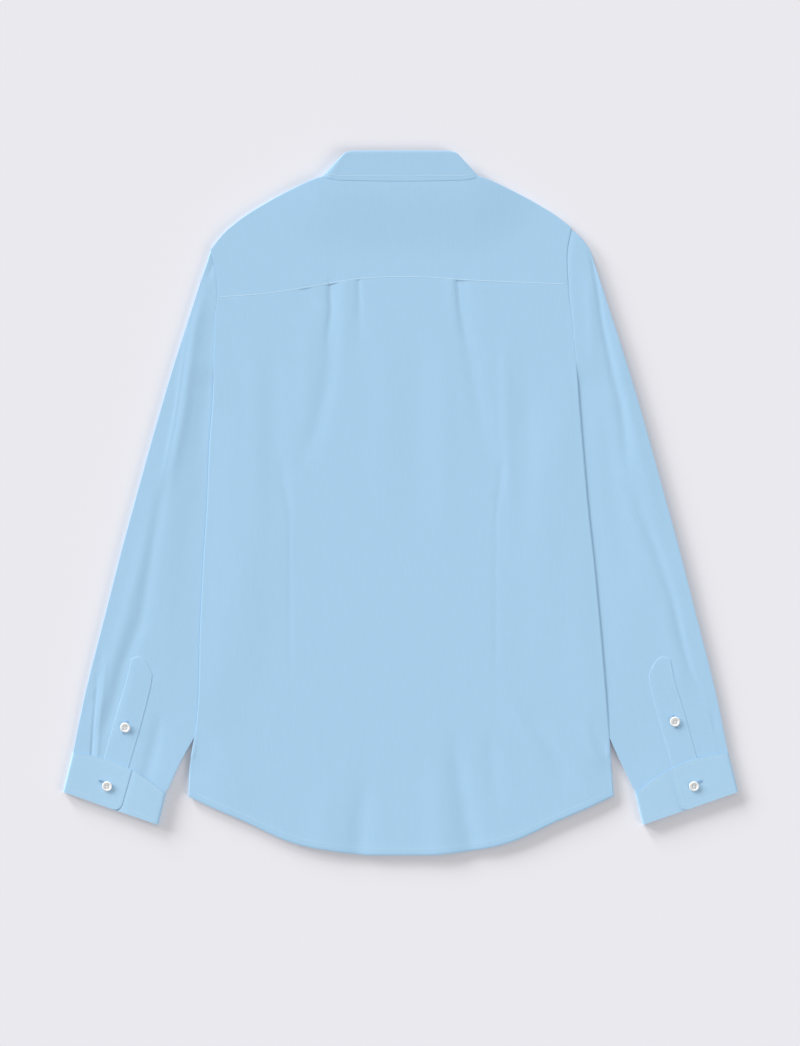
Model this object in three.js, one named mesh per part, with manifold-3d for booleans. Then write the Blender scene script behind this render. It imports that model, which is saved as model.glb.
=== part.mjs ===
// Long sleeve dress shirt, laid face down on a flat surface with its arms beside the body.
// Millimetres. +X is to the wearer's right, +Y to the collar, +Z up to the back of the shirt.
// The origin lies on the surface, under the middle of the shirt.

import * as THREE from 'three';
import { mergeVertices } from 'three/addons/utils/BufferGeometryUtils.js';
import Module from 'manifold-3d';

const wasm = await Module();
wasm.setup();

// Thickness of the layers
const CLOTH = 1.0; // one wall of shirt cloth with its air
const BAND = 1.2; // the stiffened collar and cuffs
const SEAM = 0.15; // half of the gap between two pieces at a seam
const LAP = 0.35; // gap between two layers that lie on each other

// Heights of the faces above the surface that the shirt lies on
const LOFT = 5.8; // top of the back and of the sleeves
const TUCKED_SLEEVE = 2.6; // top of a sleeve where the body lies on it
const NECK_FRONT = 2.4; // lower face of the front and the stand at the neck seam
const NECK_BACK = 8.2; // top of the yoke and the stand at the neck seam
const HEM_TOP = 4.4; // top of the back along its hem
const BUTTON_LIFT = 2.4; // lower face of the fronts where they lie on their buttons
const SIDE_EDGE_LIFT = 1.55; // from the lower face of a front to the side seam
const MIDDLE_RISE = 0.5; // the back is this much higher down its middle
const SLEEVE_RISE = 1.4; // and this much higher over a sleeve
const CUFF_SEAM_TOP = 4.0; // top of a sleeve at its cuff
const FRONT_LAP = 1.5; // rise of the left front where it lies on the right one

// Measures of the cut
const UNDERARM_Y = 118;
const NECK_HALF = 74;
const NECK_SIDE_Y = 344;
const NECK_FRONT_Y = 265;
const FRONT_YOKE_DEPTH = 24; // the yoke ends this far in front of the shoulder fold
const FRONT_OVERLAP = 15; // each front runs this far past the middle
const HEM_CORNER_Y = -307.5;
const HEM_LOW_Y = -369.1;
const SIDE_HALF = 222;
const FRONT_HEM_RISE = 15; // the front hem ends this far above the back one, in the middle
const BUTTON_HEIGHT = 2.0;
const FRONT_BUTTON_TOP_Y = 228;
const FRONT_BUTTON_STEP = 82;
const FRONT_BUTTONS = 6;
const COLLAR_BUTTON_RISE = 11; // from the neck seam to the button on the stand
const SIDE_ROUND = 5.5; // radius of the back's side edges
const FRONT_ROUND = 2.6; // radius of the fronts' side edges

// Stretches, from and to, over which a height eases from one value to another
const EASE = {
  sleeveEdge: [3, 30], // inwards from the edge of the sleeve under the body
  sleeveLowY: [-292, -264],
  sleeveHighY: [122, 160],
  collarHalf: [103, 135],
  collarY: [220, 250],
  buttonHalf: [8, 36],
  buttonY: [-262, -206],
  middleHalf: [14, 44],
  neck: [6, 84], // away from the neck seam
  hem: [0, 48], // up from the hem
  sideSeamY: [96, 134], // from the side seam to the armhole
  besideBody: [3, 32], // out from the side of the body
  armholeY: [120, 150],
  pleatY: [20, 150], // below the yoke seam
  pleatFold: [-0.7, 0.7], // across the fold of the pleat
  pleatFlat: [2, 26],
  dartLowY: [-300, -240],
  dartHighY: [10, 60],
  frontLapHalf: [16, 38],
  frontFanY: [150, 225],
};

// Armhole and side seam of the back: half widths to the wearer's left and right
const SIDE_LINE = [
  { y: -307.5, left: 222.4, right: 223.5 },
  { y: -270, left: 220.4, right: 220.6 },
  { y: -240, left: 215.4, right: 218.4 },
  { y: -120, left: 209.8, right: 208.6 },
  { y: -60, left: 206.8, right: 202.8 },
  { y: 0, left: 203.0, right: 196.3 },
  { y: 60, left: 200.6, right: 191.1 },
  { y: 118, left: 196.4, right: 186.4 },
  { y: 160, left: 195.6, right: 183.1 },
  { y: 190, left: 194.6, right: 180.4 },
  { y: 218, left: 192.6, right: 176.5 },
  { y: 235, left: 193.2, right: 175.3 },
  { y: 266, left: 199.1, right: 174.8 },
  { y: 288, left: 199.1, right: 179.0 },
];

// The front armhole is scooped deeper than the back one
const ARM_SCOOP = [
  { y: 118, depth: 0 },
  { y: 134, depth: 0.6 },
  { y: 152, depth: 8 },
  { y: 177, depth: 16 },
  { y: 205, depth: 16 },
  { y: 240, depth: 6 },
  { y: 266, depth: 0.4 },
];

// Outline of the shoulder and of the outer edge of the sleeve
const SHOULDER_LINE = [
  { x: 74, y: 344.6 },
  { x: 86.3, y: 341.4 },
  { x: 114.5, y: 329 },
  { x: 144.2, y: 313.2 },
  { x: 168.4, y: 297.5 },
  { x: 186.5, y: 281.7 },
  { x: 199.1, y: 266 },
];
const SLEEVE_OUTLINE = [
  { y: -262.2, x: 343.6 },
  { y: -206.5, x: 332.2 },
  { y: -112, x: 308.5 },
  { y: -49, x: 292.4 },
  { y: 14, x: 275.2 },
  { y: 77, x: 257.7 },
  { y: 140, x: 239.2 },
  { y: 203, x: 219 },
  { y: 250.2, x: 204 },
  { y: 266, x: 198.6 },
  { y: 281.7, x: 186.5 },
  { y: 288, x: 179 },
];

// Sections of a sleeve from the armhole to the cuff: where each meets the outer edge, where it
// ends at the inner edge, and how far the inner edge is tucked under the body there
const SLEEVE_SECTIONS = [
  { at: 0, outerY: 288, innerY: 118, tuck: -0.3 },
  { at: 1, outerY: 232, innerY: 116.5, tuck: -0.3 },
  { at: 2, outerY: 185, innerY: 115, tuck: 0 },
  { at: 3, outerY: 148, innerY: 111, tuck: 1.5 },
  { at: 4, outerY: 115, innerY: 94, tuck: 14 },
  { at: 5, outerY: 80, innerY: 66, tuck: 38 },
  { at: 6, outerY: 40, innerY: 28, tuck: 62 },
  { at: 7, outerY: -8, innerY: -20, tuck: 72 },
  { at: 8, outerY: -62, innerY: -82, tuck: 60 },
  { at: 9, outerY: -115, innerY: -140, tuck: 41 },
  { at: 10, outerY: -165, innerY: -195, tuck: 20 },
  { at: 11, outerY: -215, innerY: -251, tuck: -2 },
  { at: 12, outerY: -262.2, innerY: -305.9, tuck: -24 },
];
const LAST_SECTION = 12;
const CUFF_SLOPE = 1.5; // sections over which a sleeve comes down to its cuff

// Lines of the two back pleats, which run on into the waist darts
const PLEAT_LINES = [
  { y: -340, left: 113, right: 97 },
  { y: -250, left: 113, right: 98.5 },
  { y: -120, left: 117, right: 99 },
  { y: 16, left: 117, right: 99 },
  { y: 60, left: 104, right: 86 },
  { y: 110, left: 88, right: 74 },
  { y: 174, left: 78.5, right: 65 },
  { y: 235, left: 75.6, right: 58.4 },
];
const PLEAT_STEP = 1.5;
const DART_DEPTH = 0.5;
const DART_HALF = 3.5;
const NECK_FLAT_HALF = 66; // the neck seam is straight to this half width

// Seam between the yoke and the back, and the hem, as heights over the width
const YOKE_SEAM = [
  { x: -200, y: 214 },
  { x: -133, y: 219.6 },
  { x: -76, y: 229 },
  { x: -52, y: 233 },
  { x: 0, y: 236.2 },
  { x: 80, y: 232.2 },
  { x: 180, y: 228 },
];
const HEM_LINE = [
  { x: 0, y: HEM_LOW_Y },
  { x: 39, y: -368.6 },
  { x: 72, y: -364.6 },
  { x: 111, y: -356.8 },
  { x: 166, y: -332.6 },
  { x: 203, y: -316.6 },
  { x: 222, y: HEM_CORNER_Y },
];

// Sections round half of the collar, from the middle of the back to the middle of the front.
// level is 1 where the collar lies on top, 0 where it lies below, and between where it turns.
// seam is the neck seam, fold the upper fold and edge the free edge of the turned down collar.
const COLLAR = [
  { seamX: 0, seamY: 342, foldX: 0, foldY: 369.2, edgeX: 0, edgeY: 337.4, level: 1 },
  { seamX: 24, seamY: 342.2, foldX: 22, foldY: 369.2, edgeX: 25, edgeY: 337.6, level: 1 },
  { seamX: 44, seamY: 342.8, foldX: 41, foldY: 369.1, edgeX: 50, edgeY: 338.2, level: 1 },
  { seamX: 58, seamY: 343.4, foldX: 53, foldY: 368.6, edgeX: 70, edgeY: 339.2, level: 1 },
  { seamX: 66, seamY: 343.8, foldX: 58.4, foldY: 366.8, edgeX: 78, edgeY: 341.6, level: 1 },
  { seamX: 71.6, seamY: 344.0, foldX: 60.8, foldY: 364.6, edgeX: 81.8, edgeY: 344.8, level: 0.8 },
  { seamX: 73.6, seamY: 342.6, foldX: 61.6, foldY: 362.0, edgeX: 83.3, edgeY: 345.4, level: 0.5 },
  { seamX: 73.4, seamY: 336.5, foldX: 60.8, foldY: 356, edgeX: 84.8, edgeY: 344.0, level: 0.2 },
  { seamX: 72.8, seamY: 330.5, foldX: 58.6, foldY: 350, edgeX: 87.4, edgeY: 336.5, level: 0 },
  { seamX: 70.8, seamY: 321.3, foldX: 54, foldY: 341, edgeX: 89, edgeY: 318, level: 0 },
  { seamX: 60, seamY: 297.8, foldX: 42, foldY: 322, edgeX: 84, edgeY: 294, level: 0 },
  { seamX: 44, seamY: 280.5, foldX: 26, foldY: 306, edgeX: 76, edgeY: 274, level: 0 },
  { seamX: 24, seamY: 269.3, foldX: 6, foldY: 293, edgeX: 66, edgeY: 257, level: 0 },
];
const STAND_SHARE = 0.82; // the stand takes this share of the way from the neck seam to the fold

// A gauntlet, from its top to the cuff: its free inner edge and its stitched outer edge
const GAUNTLET = [
  { at: 9.9, innerX: 260, innerY: -177, outerX: 283, outerY: -163.5 },
  { at: 10.2, innerX: 261.5, innerY: -189, outerX: 286, outerY: -180 },
  { at: 11, innerX: 270, innerY: -225, outerX: 296, outerY: -214 },
  { at: 12, innerX: 284.8, innerY: -276.6, outerX: 311.4, outerY: -268.8 },
];

// Corners of a cuff: at the sleeve and at the free edge, on its outer and inner side
const CUFF = {
  topOuter: [343.6, -262.2],
  topInner: [246.4, -305.9],
  freeOuter: [353.8, -302.6],
  freeInner: [254, -337],
};
const CUFF_BOW = 9.7; // the seam bulges this far towards the sleeve
const CUFF_WIDTH = 106;
const CUFF_LAP_END = 63.4; // where the upper end stops, from the outer fold
const CUFF_UNDER_END = 31; // where the lower end stops, from the outer fold
const CUFF_CORNER = 8;

const COLORS = { cloth: 0xa6cde9, cuff: 0xaed2eb, button: 0xf1f3f5 };

/** Eases from 0 at one value to 1 at another. */
function ease(from, to, value) {
  const t = THREE.MathUtils.clamp((value - from) / (to - from), 0, 1);
  return t * t * (3 - 2 * t);
}

function mix(a, b, t) {
  return a + (b - a) * t;
}

/** Height of a quarter ellipse over its radius, from 0 at the edge to 1. */
function roundEdge(distance, radius) {
  const t = THREE.MathUtils.clamp(distance / radius, 0, 1);
  return Math.sqrt(1 - (1 - t) ** 2);
}

/** A smooth curve through the rows of a table, from one named column to another. */
function through(rows, from, to) {
  const xs = rows.map((row) => row[from]);
  const ys = rows.map((row) => row[to]);
  const last = xs.length - 1;
  const slopes = xs.map((_, i) => {
    const before = Math.max(i - 1, 0);
    const after = Math.min(i + 1, last);
    return (ys[after] - ys[before]) / (xs[after] - xs[before]);
  });
  return (value) => {
    const x = THREE.MathUtils.clamp(value, xs[0], xs[last]);
    let i = 0;
    while (i < last - 1 && x > xs[i + 1]) {
      i += 1;
    }
    const width = xs[i + 1] - xs[i];
    const t = (x - xs[i]) / width;
    const start = ys[i] * (1 + 2 * t) * (1 - t) ** 2 + slopes[i] * width * t * (1 - t) ** 2;
    const end = ys[i + 1] * (3 - 2 * t) * t * t - slopes[i + 1] * width * (1 - t) * t * t;
    return start + end;
  };
}

const shoulderY = through(SHOULDER_LINE, 'x', 'y');
const sleeveX = through(SLEEVE_OUTLINE, 'y', 'x');
const scoop = through(ARM_SCOOP, 'y', 'depth');
const seamY = through(YOKE_SEAM, 'x', 'y');
const hemHalf = through(HEM_LINE, 'x', 'y');
const outerYAt = through(SLEEVE_SECTIONS, 'at', 'outerY');
const innerYAt = through(SLEEVE_SECTIONS, 'at', 'innerY');
const tuckAt = through(SLEEVE_SECTIONS, 'at', 'tuck');
const tuckAtY = through([...SLEEVE_SECTIONS].reverse(), 'innerY', 'tuck');

// Everything that differs between the wearer's left and right, by side
const SIDES = {
  left: { name: 'left', sign: -1, shoulder: [199.1, 266] },
  right: { name: 'right', sign: 1, shoulder: [179.0, 288] },
};
for (const side of Object.values(SIDES)) {
  side.edge = through(SIDE_LINE, 'y', side.name);
  side.pleat = through(PLEAT_LINES, 'y', side.name);
}

function sideOf(x) {
  return x < 0 ? SIDES.left : SIDES.right;
}

/** Half width of the front: the side seam, and above it the deeper front armhole. */
function frontEdge(side, y) {
  return side.edge(y) - (y > UNDERARM_Y ? scoop(y) : 0);
}

/** Share of the lift that the sleeve under the body gives the layers above it. */
function sleeveCover(side, half, y) {
  const inside = side.edge(y) - half;
  const tucked = y > UNDERARM_Y ? 0 : Math.max(tuckAtY(y), 0);
  const across = 1 - ease(...EASE.sleeveEdge, inside - tucked);
  return across * ease(...EASE.sleeveLowY, y) * (1 - ease(...EASE.sleeveHighY, y));
}

/** Share of the lift that the collar's points give the fronts above them. */
function collarCover(half, y) {
  return (1 - ease(...EASE.collarHalf, half)) * ease(...EASE.collarY, y);
}

/** Lower face of the layer that lies nearest to the surface, which the fronts are cut from. */
function frontHeight(side, half, y) {
  const onSleeve = (TUCKED_SLEEVE + LAP) * sleeveCover(side, half, y);
  const onCollar = NECK_FRONT * collarCover(half, y);
  const nearButtons = (1 - ease(...EASE.buttonHalf, half)) * ease(...EASE.buttonY, y);
  const onButtons = BUTTON_LIFT * nearButtons;
  return Math.max(onSleeve, onCollar, onButtons);
}

/** Relief of the pleat under the yoke and of the dart below it: both follow one line. */
function pleatRelief(side, half, y) {
  const off = half - side.pleat(y);
  const belowSeam = seamY(side.sign * half) - y;
  const pleatShare = 1 - ease(...EASE.pleatY, belowSeam);
  const step = -PLEAT_STEP * ease(...EASE.pleatFold, off) * (1 - ease(...EASE.pleatFlat, off));
  const dartShare = ease(...EASE.dartLowY, y) * (1 - ease(...EASE.dartHighY, y));
  const dart = -DART_DEPTH * Math.exp(-((off / DART_HALF) ** 2));
  return step * pleatShare + dart * dartShare;
}

/** Top face of the back and of the yoke. */
function backHeight(x, y) {
  const side = sideOf(x);
  const half = Math.abs(x);
  let z = LOFT + MIDDLE_RISE * (1 - ease(...EASE.middleHalf, half));
  z += SLEEVE_RISE * sleeveCover(side, half, y);
  const toNeck = Math.hypot(Math.max(half - NECK_FLAT_HALF, 0), Math.max(NECK_SIDE_Y - y, 0));
  z = mix(NECK_BACK, z, ease(...EASE.neck, toNeck));
  z += pleatRelief(side, half, y);
  return mix(HEM_TOP, z, ease(...EASE.hem, y - hemHalf(half)));
}

/** Share by which the rim at a place is level: along the side seams, below the armholes. */
function sideSeam(point) {
  return Math.abs(point.x) > 2 * FRONT_OVERLAP ? 1 - ease(...EASE.sideSeamY, point.y) : 0;
}

/** Height of the side edge, where the back and the front meet. */
function edgeHeight(side, y) {
  return frontHeight(side, side.edge(y), y) + SIDE_EDGE_LIFT;
}

/** Top face of a sleeve over the plan. */
function sleeveHeight(side, half, y, at) {
  const outside = half - side.edge(y);
  const atEdge = mix(TUCKED_SLEEVE, LOFT, ease(...EASE.armholeY, y));
  const z = mix(atEdge, LOFT, ease(...EASE.besideBody, outside));
  const toCuff = (at - LAST_SECTION + CUFF_SLOPE) / CUFF_SLOPE;
  return mix(z, CUFF_SEAM_TOP, Math.max(toCuff, 0));
}

/** Outward normals of a grid of points: along the rows times across the columns. */
function gridNormals(grid, closed) {
  const rows = grid.length;
  const columns = grid[0].length;
  return grid.map((row, i) => row.map((_, j) => {
    const before = closed ? (j + columns - 1) % columns : Math.max(j - 1, 0);
    const after = closed ? (j + 1) % columns : Math.min(j + 1, columns - 1);
    const across = new THREE.Vector3().subVectors(row[after], row[before]);
    const down = grid[Math.min(i + 1, rows - 1)][j];
    const along = new THREE.Vector3().subVectors(down, grid[Math.max(i - 1, 0)][j]);
    return along.cross(across).normalize();
  }));
}

/** Moves a grid of points along its normals. */
function moveOut(grid, distance, closed) {
  const normals = gridNormals(grid, closed);
  const moved = (point, normal) => point.clone().addScaledVector(normal, distance);
  return grid.map((row, i) => row.map((point, j) => moved(point, normals[i][j])));
}

/**
 * A closed wall of cloth: the outer grid, the same grid moved in by the thickness, and the rim.
 * The rows run away from the collar and the columns so that along times across points out.
 * Where levelRim is 1, the first and last columns end in a level rim, as at a side seam.
 */
function wall(grid, thickness, closed = false, levelRim = () => 0) {
  const inner = moveOut(grid, -thickness, closed);
  const rows = grid.length;
  const columns = grid[0].length;
  for (const [i, row] of grid.entries()) {
    for (const j of [0, columns - 1]) {
      inner[i][j].z = mix(inner[i][j].z, row[j].z, levelRim(row[j]));
    }
  }
  const points = [...grid.flat(), ...inner.flat()];
  const outerAt = (i, j) => i * columns + (j % columns);
  const innerAt = (i, j) => rows * columns + outerAt(i, j);
  const faces = [];
  const quad = (a, b, c, d) => faces.push(a, b, c, c, b, d);
  const spans = closed ? columns : columns - 1;
  for (let i = 0; i < rows - 1; i += 1) {
    for (let j = 0; j < spans; j += 1) {
      quad(outerAt(i, j), outerAt(i + 1, j), outerAt(i, j + 1), outerAt(i + 1, j + 1));
      quad(innerAt(i, j + 1), innerAt(i + 1, j + 1), innerAt(i, j), innerAt(i + 1, j));
    }
  }
  for (let j = 0; j < spans; j += 1) {
    quad(innerAt(0, j), outerAt(0, j), innerAt(0, j + 1), outerAt(0, j + 1));
    quad(outerAt(rows - 1, j), innerAt(rows - 1, j), outerAt(rows - 1, j + 1), innerAt(rows - 1, j + 1));
  }
  for (let i = 0; i < rows - 1 && !closed; i += 1) {
    quad(innerAt(i, 0), innerAt(i + 1, 0), outerAt(i, 0), outerAt(i + 1, 0));
    const last = columns - 1;
    quad(outerAt(i, last), outerAt(i + 1, last), innerAt(i, last), innerAt(i + 1, last));
  }
  const geometry = new THREE.BufferGeometry();
  const places = points.flatMap((p) => p.toArray());
  geometry.setAttribute('position', new THREE.Float32BufferAttribute(places, 3));
  geometry.setIndex(faces);
  return geometry;
}

/** A point drawn for half widths, put on its side. */
function onSide(sign, point) {
  return new THREE.Vector3(sign * point.x, point.y, point.z);
}

/** Turns a grid drawn for half widths into one for a side, with its outer face kept out. */
function forSide(side, grid) {
  return grid.map((row) => {
    const flipped = row.map((point) => onSide(side.sign, point));
    return side.sign > 0 ? flipped : flipped.reverse();
  });
}

const shirt = new THREE.Group();

function addPiece(name, geometry, color, roughness = 0.85) {
  const material = new THREE.MeshStandardMaterial({ color, roughness, metalness: 0 });
  const mesh = new THREE.Mesh(geometry, material);
  mesh.name = name;
  shirt.add(mesh);
  return mesh;
}

// First guesses of the heights at which a column meets the seam above it and the hem
const TOP_GUESS = 225;
const NECK_GUESS = 260;
const HEM_GUESS = -340;
const PASSES = 12;

// Heights of the rows of the back and the fronts where they pass the armhole and the side edge
const BACK_ARM_ROWS = [192, 165, 134];
const FRONT_ARM_ROWS = [226, 198, 166, 134];
const SIDE_ROWS = [118, 98, 78, 50, 10, -40, -95, -150, -205, -250, -266, -280, -294, HEM_CORNER_Y];

// Back: one panel from the yoke seam to the hem, pleated at each shoulder blade
const BACK_COLUMNS = [
  { from: 'leftEdge', offsets: [0, 0.8, 2.4, 5.5, 13] },
  { from: 'leftEdge', to: 'leftPleat', shares: [0.3, 0.55, 0.8] },
  { from: 'leftPleat', offsets: [-7, -0.9, 0.9, 9] },
  { from: 'leftPleat', to: 'rightPleat', shares: [0.27, 0.43, 0.59, 0.75] },
  { from: 'rightPleat', offsets: [-9, -0.9, 0.9, 7] },
  { from: 'rightPleat', to: 'rightEdge', shares: [0.2, 0.45, 0.7] },
  { from: 'rightEdge', offsets: [-13, -5.5, -2.4, -0.8, 0] },
];

function backColumns(y) {
  const lines = {
    leftEdge: -SIDES.left.edge(y),
    leftPleat: -SIDES.left.pleat(y),
    rightPleat: SIDES.right.pleat(y),
    rightEdge: SIDES.right.edge(y),
  };
  return BACK_COLUMNS.flatMap(({ from, to, offsets, shares }) => {
    if (offsets) {
      return offsets.map((offset) => lines[from] + offset);
    }
    return shares.map((share) => mix(lines[from], lines[to], share));
  });
}

/** The height at which a column meets the seam or the hem that a function gives over the width. */
function columnEnd(columnX, lineY, guess) {
  let y = guess;
  for (let pass = 0; pass < PASSES; pass += 1) {
    y = lineY(columnX(y));
  }
  return y;
}

function backPoint(column, share) {
  const columnX = (y) => backColumns(y)[column];
  const topY = columnEnd(columnX, seamY, TOP_GUESS) - SEAM;
  const lowY = columnEnd(columnX, (x) => hemHalf(Math.abs(x)), HEM_GUESS);
  const y = mix(topY, lowY, share);
  const x = columnX(y);
  const side = sideOf(x);
  const half = Math.abs(x);
  const top = backHeight(x, y);
  const middle = edgeHeight(side, y) + SEAM;
  const rounded = mix(middle, top, roundEdge(side.edge(y) - half, SIDE_ROUND));
  const seamed = ease(...EASE.sideSeamY, y);
  const gap = seamed * SEAM * (1 - ease(0, 1, side.edge(y) - half));
  return new THREE.Vector3(side.sign * (half - gap), y, mix(rounded, top, seamed));
}

/** Shares of the way down a panel at which its side edge passes the given heights. */
function rowShares(topY, heights) {
  return [0, ...heights.map((y) => (topY - y) / (topY - HEM_CORNER_Y))];
}

const ARM_CORNER_HALF = 200; // about where the yoke seam meets the armholes
const backRows = rowShares(seamY(ARM_CORNER_HALF), [...BACK_ARM_ROWS, ...SIDE_ROWS]);
const backCount = backColumns(0).length;
const backGrid = backRows.map((share) => Array.from({ length: backCount }, (_, i) => backPoint(i, share)));
addPiece('back', wall(backGrid, CLOTH, false, sideSeam), COLORS.cloth);

// Yoke: from the front shoulder seams over the shoulders to the seam with the back, fanned round
// the neck, so each station runs from the neck seam to the outer edge
const YOKE_ROWS = 9;
const YOKE_CORNER_Y = 220; // about where the yoke seam meets the armholes
const NECK_GAP = 3 * SEAM;

// The stations on each shoulder: depth below the fold, and 0 on the lower face to 1 on the upper
const SHOULDER_STATIONS = [
  { depth: FRONT_YOKE_DEPTH, face: 0 },
  { depth: 12, face: 0 },
  { depth: 3.2, face: 0 },
  { depth: 0.8, face: 0.15 },
  { depth: 0, face: 0.5 },
  { depth: 0.8, face: 0.85 },
  { depth: 3.2, face: 1 },
];

// The stations on the back: their place on the neck seam, and the share of the armhole or the
// half width on the yoke seam at which they end
const BACK_STATIONS = [
  { neckX: 72.5, neckY: 343.4, armhole: 0.14 },
  { neckX: 70.5, neckY: 343.6, armhole: 0.42 },
  { neckX: 67, neckY: 343.6, armhole: 0.72 },
  { neckX: 62, neckY: 343.4, armhole: 1 },
  { neckX: 54, neckY: 343, seam: 150 },
  { neckX: 44, neckY: 342.6, seam: 118 },
  { neckX: 33, neckY: 342.2, seam: 84 },
  { neckX: 22, neckY: 342, seam: 54 },
  { neckX: 10, neckY: 341.8, seam: 25 },
];
const MIDDLE_STATION = { neckX: 0, neckY: 341.8, seam: 0 };

/** Where a line at a depth below the shoulder fold meets the armhole on one face. */
function armholeEnd(side, depth, edgeAt) {
  let y = side.shoulder[1] - depth;
  let x = 0;
  for (let pass = 0; pass < PASSES; pass += 1) {
    x = edgeAt(y) - 2 * SEAM;
    y = mix(y, shoulderY(x) - depth, 0.5);
  }
  return x;
}

/** Half width of the neck seam on the front over the height. */
function neckHalf(y) {
  const drop = THREE.MathUtils.clamp((NECK_SIDE_Y - y) / (NECK_SIDE_Y - NECK_FRONT_Y), 0, 1);
  return NECK_HALF * Math.sqrt(1 - drop ** 2);
}

/** Half widths of a station on the shoulder, from the neck seam to the armhole. */
function shoulderHalves(side, depth, edgeAt) {
  const neckX = neckHalf(shoulderY(NECK_HALF) - depth) + NECK_GAP;
  const endX = armholeEnd(side, depth, edgeAt);
  return Array.from({ length: YOKE_ROWS }, (_, i) => mix(neckX, endX, i / (YOKE_ROWS - 1)));
}

/** A station on the shoulder: below the fold, on it or above it. */
function shoulderStation(side, depth, face) {
  const edgeAt = face < 0.5 ? (y) => frontEdge(side, y) : side.edge;
  const seam = depth === FRONT_YOKE_DEPTH ? SEAM : 0;
  return shoulderHalves(side, depth, edgeAt).map((x) => {
    const y = shoulderY(x) - depth + seam;
    const low = frontHeight(side, x, y);
    const high = backHeight(side.sign * x, y);
    return new THREE.Vector3(x, y, mix(low, high, face));
  });
}

/** A station on the back: straight from the neck seam to the armhole or to the yoke seam. */
function backStation(side, { neckX, neckY: startY, armhole, seam }) {
  const cornerY = seamY(side.sign * side.edge(YOKE_CORNER_Y)) + SEAM;
  const armY = mix(side.shoulder[1], cornerY, armhole ?? 1);
  const onArmhole = [side.edge(armY) - 2 * SEAM, armY];
  const [endX, endY] = seam === undefined ? onArmhole : [seam, seamY(side.sign * seam) + SEAM];
  return Array.from({ length: YOKE_ROWS }, (_, i) => {
    const share = i / (YOKE_ROWS - 1);
    const x = mix(neckX, endX, share);
    const y = mix(startY, endY, share);
    return new THREE.Vector3(x, y, backHeight(side.sign * x, y));
  });
}

/** The stations of half of the yoke, from the front of the shoulder to the middle of the back. */
function yokeHalf(side) {
  const shoulder = SHOULDER_STATIONS.map(({ depth, face }) => shoulderStation(side, depth, face));
  const back = BACK_STATIONS.map((row) => backStation(side, row));
  return [...shoulder, ...back].map((station) => station.map((point) => onSide(side.sign, point)));
}

const yokeStations = [
  ...yokeHalf(SIDES.left),
  backStation(SIDES.right, MIDDLE_STATION),
  ...yokeHalf(SIDES.right).reverse(),
];
const yokeGrid = Array.from({ length: YOKE_ROWS }, (_, i) => yokeStations.map((station) => station[i]));
addPiece('yoke', wall(yokeGrid, CLOTH), COLORS.cloth);

// Fronts: from the front shoulder seam and the neck seam to the hem, under the back
const FRONT_SIDE_OFFSETS = [0, 0.8, 2.6, 6];
const FRONT_NECK_COLUMNS = [67, 60, 44, 24, 14, 0, -9, -FRONT_OVERLAP];
const FRONT_INNER_OFFSETS = [8, 36]; // past the edge of the sleeve under the body
const FRONT_LEAST_OFFSETS = [14, 46];
const FRONT_MIDDLE_SHARES = [0.33, 0.67, 1];

/** Height of the neck seam on the front over the half width. */
function neckY(half) {
  const reach = NECK_SIDE_Y - NECK_FRONT_Y;
  return NECK_SIDE_Y - reach * Math.sqrt(Math.max(1 - (half / NECK_HALF) ** 2, 0));
}

function yokeEnds(side) {
  return shoulderHalves(side, FRONT_YOKE_DEPTH, (at) => frontEdge(side, at)).reverse();
}

/** Height at which the front shoulder seam meets the armhole. */
function frontCornerY(side) {
  return shoulderY(yokeEnds(side)[0]) - FRONT_YOKE_DEPTH;
}

/**
 * Half widths of the columns of a front. Below the armhole they follow the side seam and the edge
 * of the sleeve under the body, and at the top they meet the points of the yoke.
 */
function frontColumns(side, y) {
  const ends = yokeEnds(side);
  const neckEnd = ends[ends.length - 1];
  const edge = frontEdge(side, Math.min(y, frontCornerY(side)));
  const tucked = y > UNDERARM_Y ? 0 : Math.max(tuckAtY(y), 0);
  const least = FRONT_LEAST_OFFSETS;
  const offsets = FRONT_INNER_OFFSETS.map((offset, i) => Math.max(tucked + offset, least[i]));
  const outer = [...FRONT_SIDE_OFFSETS, ...offsets].map((offset) => edge - offset);
  const last = outer[outer.length - 1];
  const low = [...outer, ...FRONT_MIDDLE_SHARES.map((share) => mix(last, neckEnd, share))];
  const spread = (edge - neckEnd) / (ends[0] - neckEnd);
  const toYoke = ease(...EASE.frontFanY, y);
  const fanned = low.map((x, i) => mix(x, neckEnd + (ends[i] - neckEnd) * spread, toYoke));
  return [...fanned, ...FRONT_NECK_COLUMNS];
}

function frontPoint(side, column, share) {
  const columnX = (y) => frontColumns(side, y)[column];
  const onShoulder = (x) => shoulderY(x) - FRONT_YOKE_DEPTH;
  const topLine = column < YOKE_ROWS ? onShoulder : (x) => neckY(Math.abs(x));
  const topY = columnEnd(columnX, topLine, NECK_GUESS) - SEAM;
  const hemLine = (x) => hemHalf(Math.abs(x)) + FRONT_HEM_RISE * (1 - (x / SIDE_HALF) ** 2);
  const lowY = columnEnd(columnX, hemLine, HEM_GUESS);
  const y = mix(topY, lowY, share);
  const x = columnX(y);
  const half = Math.abs(x);
  const inside = Math.max(frontEdge(side, y) - x, 0);
  const lapped = side.name === 'left' ? FRONT_LAP : 0;
  const overlapped = lapped * (1 - ease(...EASE.frontLapHalf, x));
  const low = frontHeight(side, half, y) + overlapped;
  const middle = edgeHeight(side, y) - SEAM;
  const rounded = mix(middle, low, roundEdge(inside, FRONT_ROUND));
  const seamed = ease(...EASE.sideSeamY, y);
  const gap = seamed * SEAM * (1 - ease(0, 1, inside));
  return new THREE.Vector3(x - gap, y, mix(rounded, low, seamed));
}

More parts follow.
